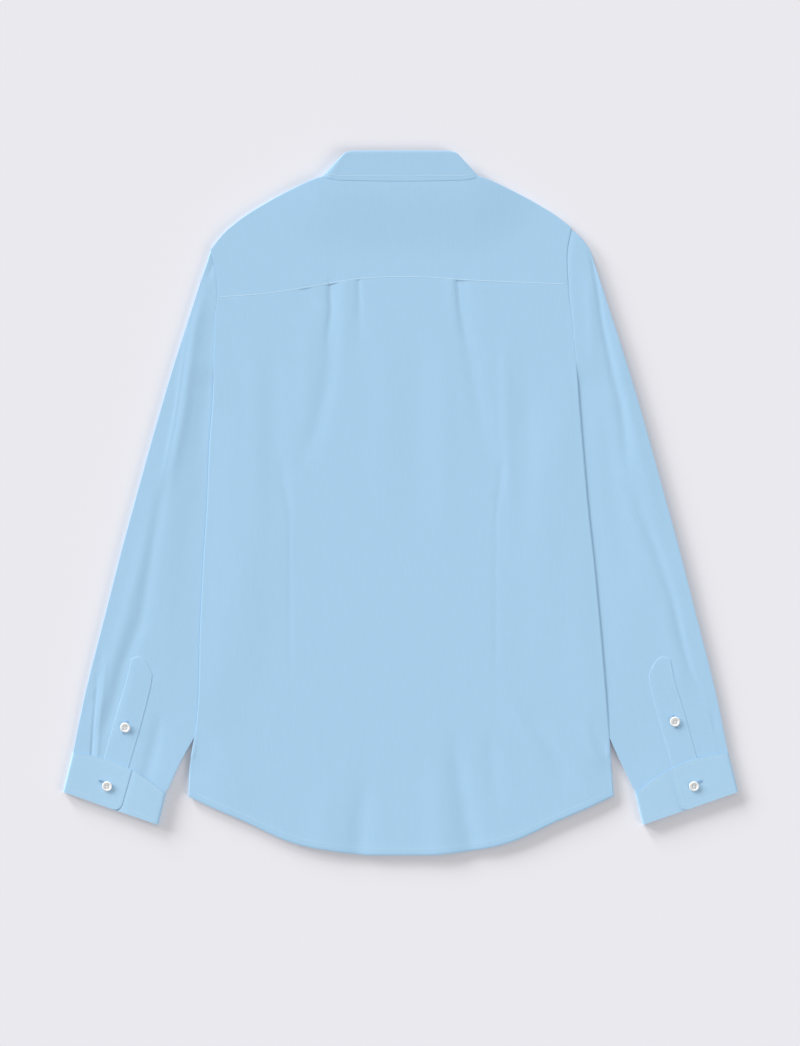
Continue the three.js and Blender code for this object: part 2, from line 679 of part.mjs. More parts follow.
for (const side of Object.values(SIDES)) {
  const rows = rowShares(frontCornerY(side) - SEAM, [...FRONT_ARM_ROWS, ...SIDE_ROWS]);
  const count = frontColumns(side, 0).length;
  const grid = rows.map((share) => Array.from({ length: count }, (_, i) => frontPoint(side, i, share)));
  addPiece(`front_${side.name}`, wall(forSide(side, grid), CLOTH, false, sideSeam), COLORS.cloth);
}

// Collar: the stand stands on the neck seam, and the turned down collar is folded over it.
// Its stations run from the left end round the back of the neck to the right end.
const OUT_LIFT = { back: 1.8, front: 2.4 };
const EDGE_DROP = 0.2; // the free edge lies this much lower than the fold's upper layer
const FALL_START = STAND_SHARE + 0.04;
const FOLD_SHARES = [0.95, 1, 0.98, 0.9]; // round the fold, as shares of the way up from the seam
const FOLD_DROP = 0.4;

/** Points of the collar at a station: on the stand's outer face, and the way out from it. */
function collarStation(side, row) {
  const turn = (row.level - 0.5) * Math.PI;
  const z = mix(NECK_FRONT, NECK_BACK, row.level);
  const seam = new THREE.Vector3(row.seamX, row.seamY, z);
  const fold = new THREE.Vector3(row.foldX, row.foldY, z);
  const up = new THREE.Vector3().subVectors(fold, seam).normalize();
  const outward = new THREE.Vector3(Math.cos(turn), 0, Math.sin(turn));
  outward.addScaledVector(up, -outward.dot(up)).normalize();
  const edgeZ = mix(0, NECK_BACK + OUT_LIFT.back - EDGE_DROP, row.level);
  const edge = new THREE.Vector3(row.edgeX, row.edgeY, edgeZ);
  const lift = mix(OUT_LIFT.front, OUT_LIFT.back, row.level);
  return { sign: side.sign, outward, seam, fold, edge, lift };
}

const backMiddle = collarStation(SIDES.right, COLLAR[0]);
const leftStations = COLLAR.slice(1).map((row) => collarStation(SIDES.left, row));
const rightStations = COLLAR.slice(1).map((row) => collarStation(SIDES.right, row));
const collarStations = [...leftStations.reverse(), backMiddle, ...rightStations];

const STAND_END_TAPER = 0.3;

/** The two ends of the stand, which cross over each other at the middle of the front. */
function standEnd(side, half, lift, height) {
  const seam = { seamX: half, seamY: neckY(half) };
  const fold = { foldX: half * STAND_END_TAPER, foldY: neckY(half) + height };
  const station = collarStation(side, { ...seam, ...fold, edgeX: 0, edgeY: 0, level: 0 });
  station.seam.z += lift;
  station.fold.z += lift;
  return station;
}

function standPoint(station, share) {
  return onSide(station.sign, station.seam.clone().lerp(station.fold, share));
}

const standStations = [
  standEnd(SIDES.left, -14, FRONT_LAP, 17),
  standEnd(SIDES.left, -11, FRONT_LAP, 24),
  standEnd(SIDES.left, 0, FRONT_LAP, 27),
  standEnd(SIDES.left, 14, FRONT_LAP, 26),
  ...collarStations,
  standEnd(SIDES.right, 14, 0, 26),
  standEnd(SIDES.right, 0, 0, 27),
  standEnd(SIDES.right, -11, 0, 24),
  standEnd(SIDES.right, -14, 0, 17),
];
const STAND_SHARES = [STAND_SHARE, STAND_SHARE * 0.66, STAND_SHARE * 0.33, 0.02];
const standRow = (share) => standStations.map((station) => standPoint(station, share));
const standGrid = STAND_SHARES.map(standRow);
addPiece('collar_stand', wall(standGrid, BAND), COLORS.cloth);

/** The turned down collar at a station: up from the stand, over the fold and down to its edge. */
function fallProfile(station) {
  const on = (share, out) => {
    const base = station.seam.clone().lerp(station.fold, share);
    return base.addScaledVector(station.outward, out);
  };
  const [rise, top, past, down] = FOLD_SHARES;
  const over = on(down, station.lift);
  const towards = (share) => over.clone().lerp(station.edge, share);
  return [
    on(FALL_START, -BAND),
    on(rise, -BAND + EDGE_DROP),
    on(top, station.lift / 2 - BAND / 2),
    on(past, station.lift - FOLD_DROP),
    over,
    towards(1 / 3),
    towards(2 / 3),
    towards(1),
  ].map((point) => onSide(station.sign, point));
}

const fallColumns = collarStations.map(fallProfile);
const fallGrid = fallColumns[0].map((_, i) => fallColumns.map((column) => column[i]));
addPiece('collar_fall', wall(fallGrid, BAND), COLORS.cloth);

// Sleeves: flattened tubes through the sections, tucked under the sides of the body
const SLEEVE_TOP = [0, 1.2, 3.6, 9];
const SLEEVE_LOW = [1.2, 3.6];
const SLEEVE_EDGE_RADIUS = 9;
const ARM_FADE = 2; // sections over which a sleeve leaves the line of the armhole
const BOW_X = -0.4; // the bulge of the cuff seam runs across and along the shirt by these shares
const BOW_Y = 0.9;
const SIDE_CROSSING = 0.6; // about where a section passes under the side of the body
const CROSSING_RANGE = [0.3, 0.8];
const BEFORE_SHARES = [0.25, 0.5, 0.75];
const ARM_TOP_SHARE = 0.42;
const LOW_EDGE_SHARES = [0.35, 0.05]; // heights of the first low points, as shares of the edge's

/** One section of a sleeve: its ends, and the point at a share of the way between them. */
function sleeveSection(side, at) {
  const startY = mix(side.shoulder[1], outerYAt(1), Math.min(at, 1));
  const outerY = at < 1 ? startY : outerYAt(at);
  const outerX = at === 0 ? side.shoulder[0] : sleeveX(outerY);
  const innerY = innerYAt(at);
  const innerX = at === LAST_SECTION ? CUFF.topInner[0] : side.edge(innerY) - tuckAt(at);
  const length = Math.hypot(outerX - innerX, outerY - innerY);
  const fade = Math.max(1 - at / ARM_FADE, 0) ** 2;
  const seamBow = Math.max(at - LAST_SECTION + ARM_FADE, 0) / ARM_FADE;
  const plan = (share, edgeAt) => {
    const y = mix(outerY, innerY, share);
    const straight = mix(outerX, innerX, share);
    const startLine = mix(side.shoulder[0], side.edge(UNDERARM_Y), share);
    const armY = mix(side.shoulder[1], UNDERARM_Y, share);
    const x = straight + (edgeAt(armY) - startLine) * fade;
    const kept = y > UNDERARM_Y ? Math.max(x, edgeAt(y) + 2 * SEAM) : x;
    const bow = CUFF_BOW * seamBow * 4 * share * (1 - share);
    return [kept + bow * BOW_X, y + bow * BOW_Y];
  };
  const bodyX = side.edge(mix(outerY, innerY, SIDE_CROSSING));
  const crossing = (outerX - bodyX - 2) / (outerX - innerX);
  return { length, plan, crossing };
}

function sleeveTopPoint(side, at, share, section = sleeveSection(side, at)) {
  const [x, y] = section.plan(share, side.edge);
  const toEdge = Math.min(share, 1 - share) * section.length;
  const top = sleeveHeight(side, x, y, at);
  const z = mix(top / 2, top, roundEdge(toEdge, SLEEVE_EDGE_RADIUS));
  return new THREE.Vector3(x, y, z);
}

function sleeveLowPoint(side, share, section) {
  const [x, y] = section.plan(share, (lineY) => frontEdge(side, lineY));
  return new THREE.Vector3(x, y, 0);
}

/** Shares of the first section at which it passes the given heights of the armhole. */
function armShares(side, heights) {
  const [, topY] = side.shoulder;
  return heights.map((y) => (topY - y) / (topY - UNDERARM_Y));
}

function sleeveLoop(side, at) {
  const section = sleeveSection(side, at);
  const near = SLEEVE_TOP.map((distance) => distance / section.length);
  const low = SLEEVE_LOW.map((distance) => distance / section.length);
  const start = near[near.length - 1];
  const crossing = THREE.MathUtils.clamp(section.crossing, ...CROSSING_RANGE);
  const before = BEFORE_SHARES.map((part) => mix(start, crossing, part));
  const middle = [...before, crossing, mix(crossing, 1 - start, 0.5)];
  const cornerY = seamY(side.sign * side.edge(YOKE_CORNER_Y));
  const highY = mix(side.shoulder[1], cornerY, ARM_TOP_SHARE);
  const armTop = armShares(side, [highY, cornerY, ...BACK_ARM_ROWS]);
  const armLow = armShares(side, [frontCornerY(side), ...FRONT_ARM_ROWS]);
  const toArm = Math.max(1 - at / ARM_FADE, 0);
  const across = middle.map((share, i) => mix(share, armTop[i], toArm));
  const under = armLow.map((share, i) => mix((i + 1) / (armLow.length + 1), share, toArm));
  const topShares = [...near, ...across, ...near.map((share) => 1 - share).reverse()];
  const lowShares = [...low, ...under, ...low.map((share) => 1 - share).reverse()];
  const top = topShares.map((share) => sleeveTopPoint(side, at, share, section));
  const bottom = lowShares.map((share) => sleeveLowPoint(side, share, section));
  const last = bottom.length - 1;
  LOW_EDGE_SHARES.forEach((part, i) => {
    bottom[i].z = part * top[0].z;
    bottom[last - i].z = part * top[top.length - 1].z;
  });
  return [...top.reverse(), ...bottom];
}

const SLEEVE_END = 11.995; // just short of the cuff
const SLEEVE_STATIONS = [0, 0.5, 1, 1.5, 2, 2.6, 3.3, 4, 4.8, 5.6, 6.5, 7.4, 8.2, 9, 9.8, 10.5, 11.2, 12];
for (const side of Object.values(SIDES)) {
  const rings = SLEEVE_STATIONS.map((at) => sleeveLoop(side, Math.min(at, SLEEVE_END)));
  addPiece(`sleeve_${side.name}`, wall(forSide(side, rings), CLOTH, true), COLORS.cloth);
}

// Gauntlets: the strip that edges the slit of each sleeve, on the sleeve's top face
const SEARCH = { at: 10, share: 0.4, passes: 30, step: 0.01, lowest: 8, highest: 11.98 };

/** The sleeve's own top face at a place given by its half width and height, found by steps. */
function onSleeve(side, x, y) {
  let { at, share } = SEARCH;
  for (let pass = 0; pass < SEARCH.passes; pass += 1) {
    const point = sleeveTopPoint(side, at, share);
    const next = sleeveTopPoint(side, at + SEARCH.step, share);
    const slope = (next.y - point.y) / SEARCH.step;
    at = THREE.MathUtils.clamp(at + (y - point.y) / slope, SEARCH.lowest, SEARCH.highest);
    const moved = sleeveTopPoint(side, at, share);
    const along = sleeveTopPoint(side, at, share + SEARCH.step);
    share += (x - moved.x) / ((along.x - moved.x) / SEARCH.step);
  }
  return sleeveTopPoint(side, at, share);
}

const GAUNTLET_LINES = ['innerX', 'innerY', 'outerX', 'outerY'];
const gauntletEdges = GAUNTLET_LINES.map((name) => through(GAUNTLET, 'at', name));
const GAUNTLET_STATIONS = [9.9, 10, 10.2, 10.5, 11, 11.5, 12];
const GAUNTLET_SHARES = [0, 0.12, 0.3, 0.6, 1];
const GAUNTLET_CORNER = 11;
const GAUNTLET_WIDTH = 26;
const GAUNTLET_ARCH = { rise: 9, fall: 0.4, end: 10.4, length: 0.5 };

for (const side of Object.values(SIDES)) {
  const grid = GAUNTLET_STATIONS.map((at) => GAUNTLET_SHARES.map((share) => {
    const [innerX, innerY, outerX, outerY] = gauntletEdges.map((edge) => edge(at));
    const corner = GAUNTLET_CORNER * (1 - roundEdge(share * GAUNTLET_WIDTH, GAUNTLET_CORNER));
    const arch = GAUNTLET_ARCH.rise * Math.sin(Math.PI * share) - GAUNTLET_ARCH.fall * corner;
    const top = Math.max(GAUNTLET_ARCH.end - at, 0) / GAUNTLET_ARCH.length;
    const y = mix(innerY, outerY, share) + arch * top;
    return onSleeve(side, mix(innerX, outerX, share), y);
  }));
  const outer = moveOut(forSide(side, grid), LAP + CLOTH, false);
  addPiece(`gauntlet_${side.name}`, wall(outer, CLOTH), COLORS.cloth);
}

// Cuffs: one band each, from its under end round the inner and the outer fold to the upper end
/** Stations along the band: distance from the outer fold and height of its outer face. */
const CUFF_STATIONS = [
  { across: 31, z: 2.85, under: true },
  { across: 46, z: 2.85, under: true },
  { across: 64, z: 2.9, under: true },
  { across: 80, z: 3.1 },
  { across: 94, z: 3.1 },
  { across: 103, z: 2.95 },
  { across: 105.4, z: 2.3 },
  { across: 106, z: 1.5 },
  { across: 105.3, z: 0.45 },
  { across: 103, z: 0 },
  { across: 80, z: 0 },
  { across: 54, z: 0 },
  { across: 28, z: 0 },
  { across: 3, z: 0 },
  { across: 0.7, z: 0.5 },
  { across: 0, z: 1.9 },
  { across: 0.7, z: 3.2 },
  { across: 3, z: 3.95 },
  { across: 12, z: 4.3 },
  { across: 28, z: 4.45 },
  { across: 44, z: 4.45 },
  { across: 55, z: 4.45 },
  { across: 60, z: 4.45 },
  { across: 62.6, z: 4.45 },
  { across: 63.4, z: 4.45 },
];
const CUFF_ROWS = 5;
const CUFF_DEPTH = 42;
const CUFF_GAP = [0.4, -0.6]; // from the end of the sleeve to the cuff
const CUFF_TOP_FROM = 19; // the stations after this one lie on the upper end

function cuffPoint(station, down) {
  const share = station.across / CUFF_WIDTH;
  const bow = CUFF_BOW * 4 * share * (1 - share) * (1 - down);
  const [x, y] = [0, 1].map((axis) => {
    const top = mix(CUFF.topOuter[axis], CUFF.topInner[axis], share);
    const free = mix(CUFF.freeOuter[axis], CUFF.freeInner[axis], share);
    return mix(top, free, down) + CUFF_GAP[axis] * (1 - down);
  });
  return new THREE.Vector3(x + bow * BOW_X, y + bow * BOW_Y, station.z);
}

/** How far the free edge is drawn in towards the seam, for the rounded corners of the band. */
function cornerRise(across, end) {
  const short = Math.max(CUFF_CORNER - Math.abs(end - across), 0);
  return (CUFF_CORNER - Math.sqrt(CUFF_CORNER ** 2 - short ** 2)) / CUFF_DEPTH;
}

for (const side of Object.values(SIDES)) {
  const columns = CUFF_STATIONS.map((station, index) => {
    const end = station.under ? CUFF_UNDER_END : CUFF_LAP_END;
    const onEnd = station.under || index > CUFF_TOP_FROM;
    const reach = onEnd ? 1 - cornerRise(station.across, end) : 1;
    return Array.from({ length: CUFF_ROWS }, (_, i) => cuffPoint(station, (reach * i) / (CUFF_ROWS - 1)));
  });
  const grid = columns[0].map((_, i) => columns.map((column) => column[i]).reverse());
  addPiece(`cuff_${side.name}`, wall(forSide(side, grid), BAND), COLORS.cuff);
}

// Buttons: a turned disc with a raised rim and four holes for the thread
function solidFrom(geometry) {
  const bare = geometry.clone();
  bare.deleteAttribute('normal');
  bare.deleteAttribute('uv');
  const merged = mergeVertices(bare, WELD);
  const corners = merged.index.array;
  const kept = [];
  for (let i = 0; i < corners.length; i += 3) {
    const [a, b, c] = corners.slice(i, i + 3);
    if (a !== b && b !== c && c !== a) {
      kept.push(a, b, c);
    }
  }
  const vertProperties = new Float32Array(merged.attributes.position.array);
  return new wasm.Manifold(new wasm.Mesh({ numProp: 3, vertProperties, triVerts: new Uint32Array(kept) }));
}

function geometryFrom(solid) {
  const mesh = solid.getMesh();
  const geometry = new THREE.BufferGeometry();
  geometry.setAttribute('position', new THREE.Float32BufferAttribute(mesh.vertProperties, 3));
  geometry.setIndex([...mesh.triVerts]);
  return geometry;
}

const BUTTON_PROFILE = [[0, 0], [4.8, 0], [5.25, 0.7], [4.9, 2.0], [3.7, 1.6], [0, 1.6]];
const BUTTON_HOLE_OFFSET = 1.15;
const BUTTON_HOLE_WIDTH = 1.1;
const BUTTON_SIDES = 14;
const WELD = 1e-4;

function buttonGeometry() {
  const profile = BUTTON_PROFILE.map(([radius, height]) => new THREE.Vector2(radius, height));
  const disc = new THREE.LatheGeometry(profile, BUTTON_SIDES).rotateX(Math.PI / 2);
  let solid = solidFrom(disc);
  for (const [x, y] of [[1, 1], [1, -1], [-1, 1], [-1, -1]]) {
    const hole = new THREE.BoxGeometry(BUTTON_HOLE_WIDTH, BUTTON_HOLE_WIDTH, 3 * BUTTON_HEIGHT);
    hole.translate(x * BUTTON_HOLE_OFFSET, y * BUTTON_HOLE_OFFSET, 0);
    solid = solid.subtract(solidFrom(hole));
  }
  return geometryFrom(solid);
}

const buttonShape = buttonGeometry();

function addButton(name, x, y, z, faceUp) {
  const button = addPiece(name, buttonShape.clone(), COLORS.button, 0.35);
  button.position.set(x, y, z);
  button.rotation.x = faceUp ? 0 : Math.PI;
}

const CUFF_BUTTON = [307.4, -296.4];
const CUFF_TOP = 4.45;
const GAUNTLET_BUTTON_GAP = 0.5;
const GAUNTLET_BUTTON = { left: [288.5, -234.9], right: [287.4, -228.8] };
for (const side of Object.values(SIDES)) {
  addButton(`cuff_button_${side.name}`, side.sign * CUFF_BUTTON[0], CUFF_BUTTON[1], CUFF_TOP + LAP, true);
  const [x, y] = GAUNTLET_BUTTON[side.name];
  const seat = onSleeve(side, x, y).z + LAP + CLOTH + GAUNTLET_BUTTON_GAP;
  addButton(`gauntlet_button_${side.name}`, side.sign * x, y, seat, true);
}
addButton('collar_button', 0, NECK_FRONT_Y + COLLAR_BUTTON_RISE, BUTTON_HEIGHT, false);
for (let i = 0; i < FRONT_BUTTONS; i += 1) {
  const y = FRONT_BUTTON_TOP_Y - i * FRONT_BUTTON_STEP;
  addButton(`front_button_${i + 1}`, 0, y, BUTTON_HEIGHT, false);
}

export default shirt;
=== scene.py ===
import math

import bpy
import numpy as np
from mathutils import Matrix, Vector


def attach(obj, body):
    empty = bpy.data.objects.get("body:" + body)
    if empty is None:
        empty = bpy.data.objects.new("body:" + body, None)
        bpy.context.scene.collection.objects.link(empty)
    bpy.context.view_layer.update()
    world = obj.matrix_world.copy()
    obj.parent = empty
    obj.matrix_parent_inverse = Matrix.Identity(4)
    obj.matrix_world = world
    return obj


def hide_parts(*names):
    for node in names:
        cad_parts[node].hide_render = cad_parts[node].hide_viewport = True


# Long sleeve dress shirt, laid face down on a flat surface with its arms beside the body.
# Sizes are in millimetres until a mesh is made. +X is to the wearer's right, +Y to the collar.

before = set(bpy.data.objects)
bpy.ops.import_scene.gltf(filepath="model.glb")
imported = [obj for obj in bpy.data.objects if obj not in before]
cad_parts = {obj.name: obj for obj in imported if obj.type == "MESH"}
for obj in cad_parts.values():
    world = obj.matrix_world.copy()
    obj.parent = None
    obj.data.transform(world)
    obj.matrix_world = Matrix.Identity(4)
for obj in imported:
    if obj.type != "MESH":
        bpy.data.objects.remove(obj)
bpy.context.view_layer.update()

# Back: one panel of light cotton poplin from the yoke seam to the curved hem, cut wider than the
# yoke and taken in by one pleat at each shoulder blade, with a long waist dart under each.
LOFT = 5.8  # top of the back above the surface
HEM_LOFT = 5.2  # top of the back along its hem
NECK_LOFT = 8.2  # top of the yoke at the neck seam
SLEEVE_UNDER_BODY = 2.6  # top of a sleeve where the body lies on it
SLEEVE_AT_BODY = 5.0  # top of a sleeve at the side of the body
LAYER_GAP = 0.1
NECK_FRONT = 2.4  # lower face of the fronts at the neck seam
SEAM_GAP = 0.15
UNDERARM_Y = 118.0
CLOTH_WALL = 0.3
SEAM_UNDER = 1.3  # how far a seam's lower piece runs on under the upper one

side_line = {
    "y": (-307.5, -270, -240, -120, -60, 0, 60, 118, 160, 190, 218, 235, 266, 288),
    "left": (222.4, 220.4, 215.4, 209.8, 206.8, 203.0, 200.6, 196.4, 195.6, 194.6, 192.6, 193.2, 199.1, 199.1),
    "right": (223.5, 220.6, 218.4, 208.6, 202.8, 196.3, 191.1, 186.4, 183.1, 180.4, 176.5, 175.3, 174.8, 179.0),
}
hem_line = {
    "x": (0, 39, 72, 111, 166, 203, 222),
    "y": (-369.1, -368.6, -364.6, -356.8, -332.6, -316.6, -307.5),
}
yoke_seam_line = {
    "x": (-200, -133, -76, -52, 0, 80, 180),
    "y": (214, 219.6, 229, 233, 236.2, 232.2, 228),
}
sleeve_tuck_line = {
    "y": (-305.9, -251, -195, -140, -82, -20, 28, 66, 94, 111, 115, 118),
    "depth": (-24, -2, 20, 41, 60, 72, 62, 38, 14, 1.5, 0, 0),
}


def ease(start, end, value):
    """Eases from 0 at start to 1 at end."""
    t = np.clip((value - start) / (end - start), 0, 1)
    return t * t * (3 - 2 * t)


def mix(a, b, t):
    return a + (b - a) * t


def round_edge(distance, radius):
    """Height of a quarter ellipse over its radius, from 0 at the edge to 1."""
    t = np.clip(distance / radius, 0, 1)
    return np.sqrt(1 - (1 - t) ** 2)


def hermite(knots, values, at):
    """Smooth curve through values at knots. Values may be numbers or points."""
    slopes = np.gradient(values, knots, axis=0)
    i = np.clip(np.searchsorted(knots, at, side="right") - 1, 0, len(knots) - 2)
    width = knots[i + 1] - knots[i]
    t = (at - knots[i]) / width
    shape = t.shape + (1,) * (values.ndim - 1)
    t, width = t.reshape(shape), width.reshape(shape)
    start = values[i] * (1 + 2 * t) * (1 - t) ** 2 + slopes[i] * width * t * (1 - t) ** 2
    end = values[i + 1] * (3 - 2 * t) * t**2 - slopes[i + 1] * width * (1 - t) * t**2
    return start + end


def through(table, given, wanted):
    """Smooth function through two named columns of a table."""
    knots = np.array(table[given], float)
    values = np.array(table[wanted], float)
    return lambda at: hermite(knots, values, np.clip(np.asarray(at, float), knots[0], knots[-1]))


side_half = {-1: through(side_line, "y", "left"), 1: through(side_line, "y", "right")}
hem_y = through(hem_line, "x", "y")
yoke_seam_y = through(yoke_seam_line, "x", "y")
tuck_depth = through(sleeve_tuck_line, "y", "depth")


def edge_half(x, y):
    """Half width of the back at a height, on the side that x is on."""
    return np.where(x < 0, side_half[-1](y), side_half[1](y))


def sleeve_cover(x, y):
    """1 where a sleeve lies under the body, and 0 away from it."""
    inside = edge_half(x, y) - np.abs(x)
    tucked = np.where(y > UNDERARM_Y, 0, np.maximum(tuck_depth(y), 0))
    across = 1 - ease(tucked - 25, tucked + 45, inside)
    return across * ease(-292, -230, y) * (1 - ease(100, 170, y))


def beside(x, y, line):
    """Signed distance from a line, positive to its wearer's right as it runs down, and the share along it."""
    best = np.full(np.shape(x), 1e9)
    signed = np.zeros(np.shape(x))
    share = np.zeros(np.shape(x))
    points = np.array(line, float)
    lengths = np.linalg.norm(np.diff(points, axis=0), axis=1)
    marks = np.concatenate([[0], np.cumsum(lengths)]) / lengths.sum()
    for (ax, ay), (bx, by), start, end in zip(points[:-1], points[1:], marks[:-1], marks[1:]):
        dx, dy = bx - ax, by - ay
        t = np.clip(((x - ax) * dx + (y - ay) * dy) / (dx**2 + dy**2), 0, 1)
        px, py = x - ax - t * dx, y - ay - t * dy
        distance = np.hypot(px, py)
        nearer = distance < best
        best = np.where(nearer, distance, best)
        signed = np.where(nearer, distance * np.sign(dx * py - dy * px), signed)
        share = np.where(nearer, mix(start, end, t), share)
    return signed, share


def folds(x, y, table, from_light=1):
    """Relief of the troughs and ridges of a table, each fading in and out over shares of its line.
    A line is the shaded flank of a trough or the lit flank of a ridge, by the way the light comes."""
    z = np.zeros(np.shape(x))
    for kind, line, widths, depths, fades in table:
        off, share = beside(x, y, line)
        width = mix(widths[0], widths[1], share)
        depth = mix(depths[0], depths[1], share)
        ends = ease(-0.001, fades[0], share) * (1 - ease(1 - fades[1], 1.001, share))
        shape = np.exp(-((off / width - 0.7 * from_light) ** 2)) * (1 if kind == "ridge" else -1)
        z += shape * depth * ends
    return z


body_folds = (
    # the pleats under the yoke, which run on into the darts
    ("trough", ((-75.8, 232), (-74.1, 203), (-79.4, 173), (-80.4, 140)), (1.5, 4), (0.55, 0.15), (0, 0.6)),
    ("trough", ((-76, 232), (-77, 190), (-80, 140), (-90, 92), (-120, 16)), (6, 10), (0.5, 0.35), (0, 0.4)),
    ("trough", ((-45.4, 236), (-45.8, 194), (-46.5, 150)), (1.8, 7), (0.5, 0.1), (0, 0.6)),
    ("trough", ((-106, 226), (-95, 211), (-82, 200)), (5, 8), (0.5, 0.2), (0.1, 0.5)),
    ("trough", ((58.2, 234), (60.3, 203), (65.5, 173), (70, 140)), (1.5, 4), (0.5, 0.15), (0, 0.6)),
    ("trough", ((59, 234), (62, 190), (74, 110), (86, 50), (99, 16)), (6, 10), (0.45, 0.3), (0, 0.4)),
    ("ridge", ((50, 232), (51, 200), (56, 160)), (5, 9), (0.2, 0.1), (0, 0.6)),
    ("ridge", ((-62, 231), (-62, 190), (-66, 140)), (6, 9), (0.25, 0.1), (0, 0.6)),
    # the waist darts
    ("trough", ((-125.6, 24), (-117.2, -10), (-117.2, -159), (-112, -290)), (1.6, 2.4), (0.22, 0.08), (0.1, 0.5)),
    ("trough", ((100.2, 22), (98.5, -60), (98, -248)), (1.6, 2.4), (0.2, 0.1), (0.1, 0.4)),
    ("trough", ((-131, 50), (-125, 20), (-116, -12)), (6, 4), (0.35, 0.2), (0.4, 0.3)),
    ("trough", ((106, 60), (102, 20), (99, -18)), (5, 3), (0.3, 0.15), (0.4, 0.4)),
    # long soft folds down the back
    ("trough", ((-140, 190), (-139, 60), (-136, -60)), (10, 13), (0.28, 0.28), (0.3, 0.4)),
    ("ridge", ((-160, 200), (-160, 60), (-158, -80)), (8, 12), (0.18, 0.2), (0.3, 0.4)),
    ("ridge", ((-104, 200), (-106, 120), (-108, 60)), (8, 10), (0.2, 0.15), (0.3, 0.4)),
    ("trough", ((124, 190), (126, 80), (124, -60)), (9, 12), (0.28, 0.3), (0.4, 0.4)),
    ("ridge", ((104, 190), (107, 100), (109, -20)), (6, 7), (0.24, 0.3), (0.3, 0.3)),
    ("trough", ((5, 210), (7, 60), (8, -60)), (13, 16), (0.22, 0.2), (0.3, 0.4)),
    ("ridge", ((-22, 200), (-24, 90), (-25, -60)), (10, 14), (0.18, 0.16), (0.3, 0.4)),
    ("ridge", ((34, 190), (38, 80), (40, -60)), (10, 14), (0.18, 0.16), (0.3, 0.4)),
    ("ridge", ((-172, 20), (-176, -120), (-172, -250)), (14, 18), (0.24, 0.2), (0.4, 0.4)),
    ("trough", ((160, 60), (164, -80), (160, -230)), (14, 18), (0.22, 0.2), (0.4, 0.4)),
    # folds above the hem
    ("trough", ((48, -226), (54, -285), (64, -350), (69, -382)), (8, 12), (0.5, 1.1), (0.4, 0)),
    ("ridge", ((22, -260), (30, -330), (34, -385)), (13, 16), (0.3, 0.65), (0.5, 0)),
    ("trough", ((-40, -270), (-50, -330), (-56, -385)), (9, 13), (0.25, 1.0), (0.5, 0)),
    ("ridge", ((-84, -270), (-90, -330), (-92, -385)), (12, 16), (0.2, 0.4), (0.5, 0)),
    ("trough", ((86, -236), (92, -278), (96, -330)), (6, 9), (0.35, 0.25), (0.3, 0.5)),
    ("ridge", ((104, -212), (128, -244), (160, -300)), (8, 10), (0.45, 0.3), (0.3, 0.5)),
    ("trough", ((116, -204), (146, -250), (184, -318)), (8, 10), (0.4, 0.4), (0.3, 0.4)),
    ("ridge", ((184, -222), (204, -268), (220, -318)), (6, 6), (0.35, 0.4), (0.3, 0)),
    ("trough", ((192, -216), (213, -268), (226, -312)), (5, 5), (0.3, 0.4), (0.3, 0)),
    ("ridge", ((-204, -236), (-186, -280), (-156, -330)), (9, 12), (0.25, 0.3), (0.4, 0.4)),
    # the felled seam beside the right edge
    ("trough", ((177, 160), (186, 60), (198, -60), (204, -120), (213, -240)), (1.6, 1.6), (0.2, 0.2), (0.2, 0.2)),
)


def body_top(x, y):
    """Top face of the back and the yoke."""
    half = np.abs(x)
    z = mix(HEM_LOFT, LOFT, ease(-370, -80, y)) + 0.55 * sleeve_cover(x, y)
    to_neck = np.hypot(np.maximum(half - 66, 0), np.maximum(344 - y, 0))
    return mix(NECK_LOFT, z, ease(6, 90, to_neck))


def front_low(side, half, y):
    """Lower face of the fronts: it lies on the sleeves, the collar's points and the buttons."""
    inside = side_half[side](y) - half
    tucked = np.where(y > UNDERARM_Y, 0, np.maximum(tuck_depth(y), 0))
    cover = (1 - ease(tucked + 3, tucked + 30, inside)) * ease(-292, -264, y) * (1 - ease(122, 160, y))
    on_collar = NECK_FRONT * (1 - ease(103, 135, half)) * ease(220, 250, y)
    on_buttons = 2.4 * (1 - ease(8, 36, half)) * ease(-262, -206, y)
    on_sleeve = mix(SLEEVE_AT_BODY, SLEEVE_UNDER_BODY, ease(0, 32, inside)) + LAYER_GAP
    return np.maximum(np.maximum(on_sleeve * cover, on_collar), on_buttons)


def side_level(side, y):
    """Height at which the back and a front meet along the side seam."""
    over_sleeve = front_low(side, side_half[side](y), y) + 0.35
    return mix(4.3, over_sleeve, ease(-300, -190, y))


def spread(margins, count):
    """Places across a strip as a distance and a share of its width, closer together at its ends."""
    margins = np.array(margins, float)
    share = np.linspace(0, 1, count + 2)[1:-1]
    distance = np.concatenate([margins, margins[-1] * (1 - 2 * share), -margins[::-1]])
    part = np.concatenate([np.zeros(len(margins)), share, np.ones(len(margins))])
    return distance, part


def settle(line_y, place_x, guess):
    """Heights at which the columns of a panel meet a seam or a hem."""
    y = guess
    for _ in range(14):
        y = line_y(place_x(y))
    return y


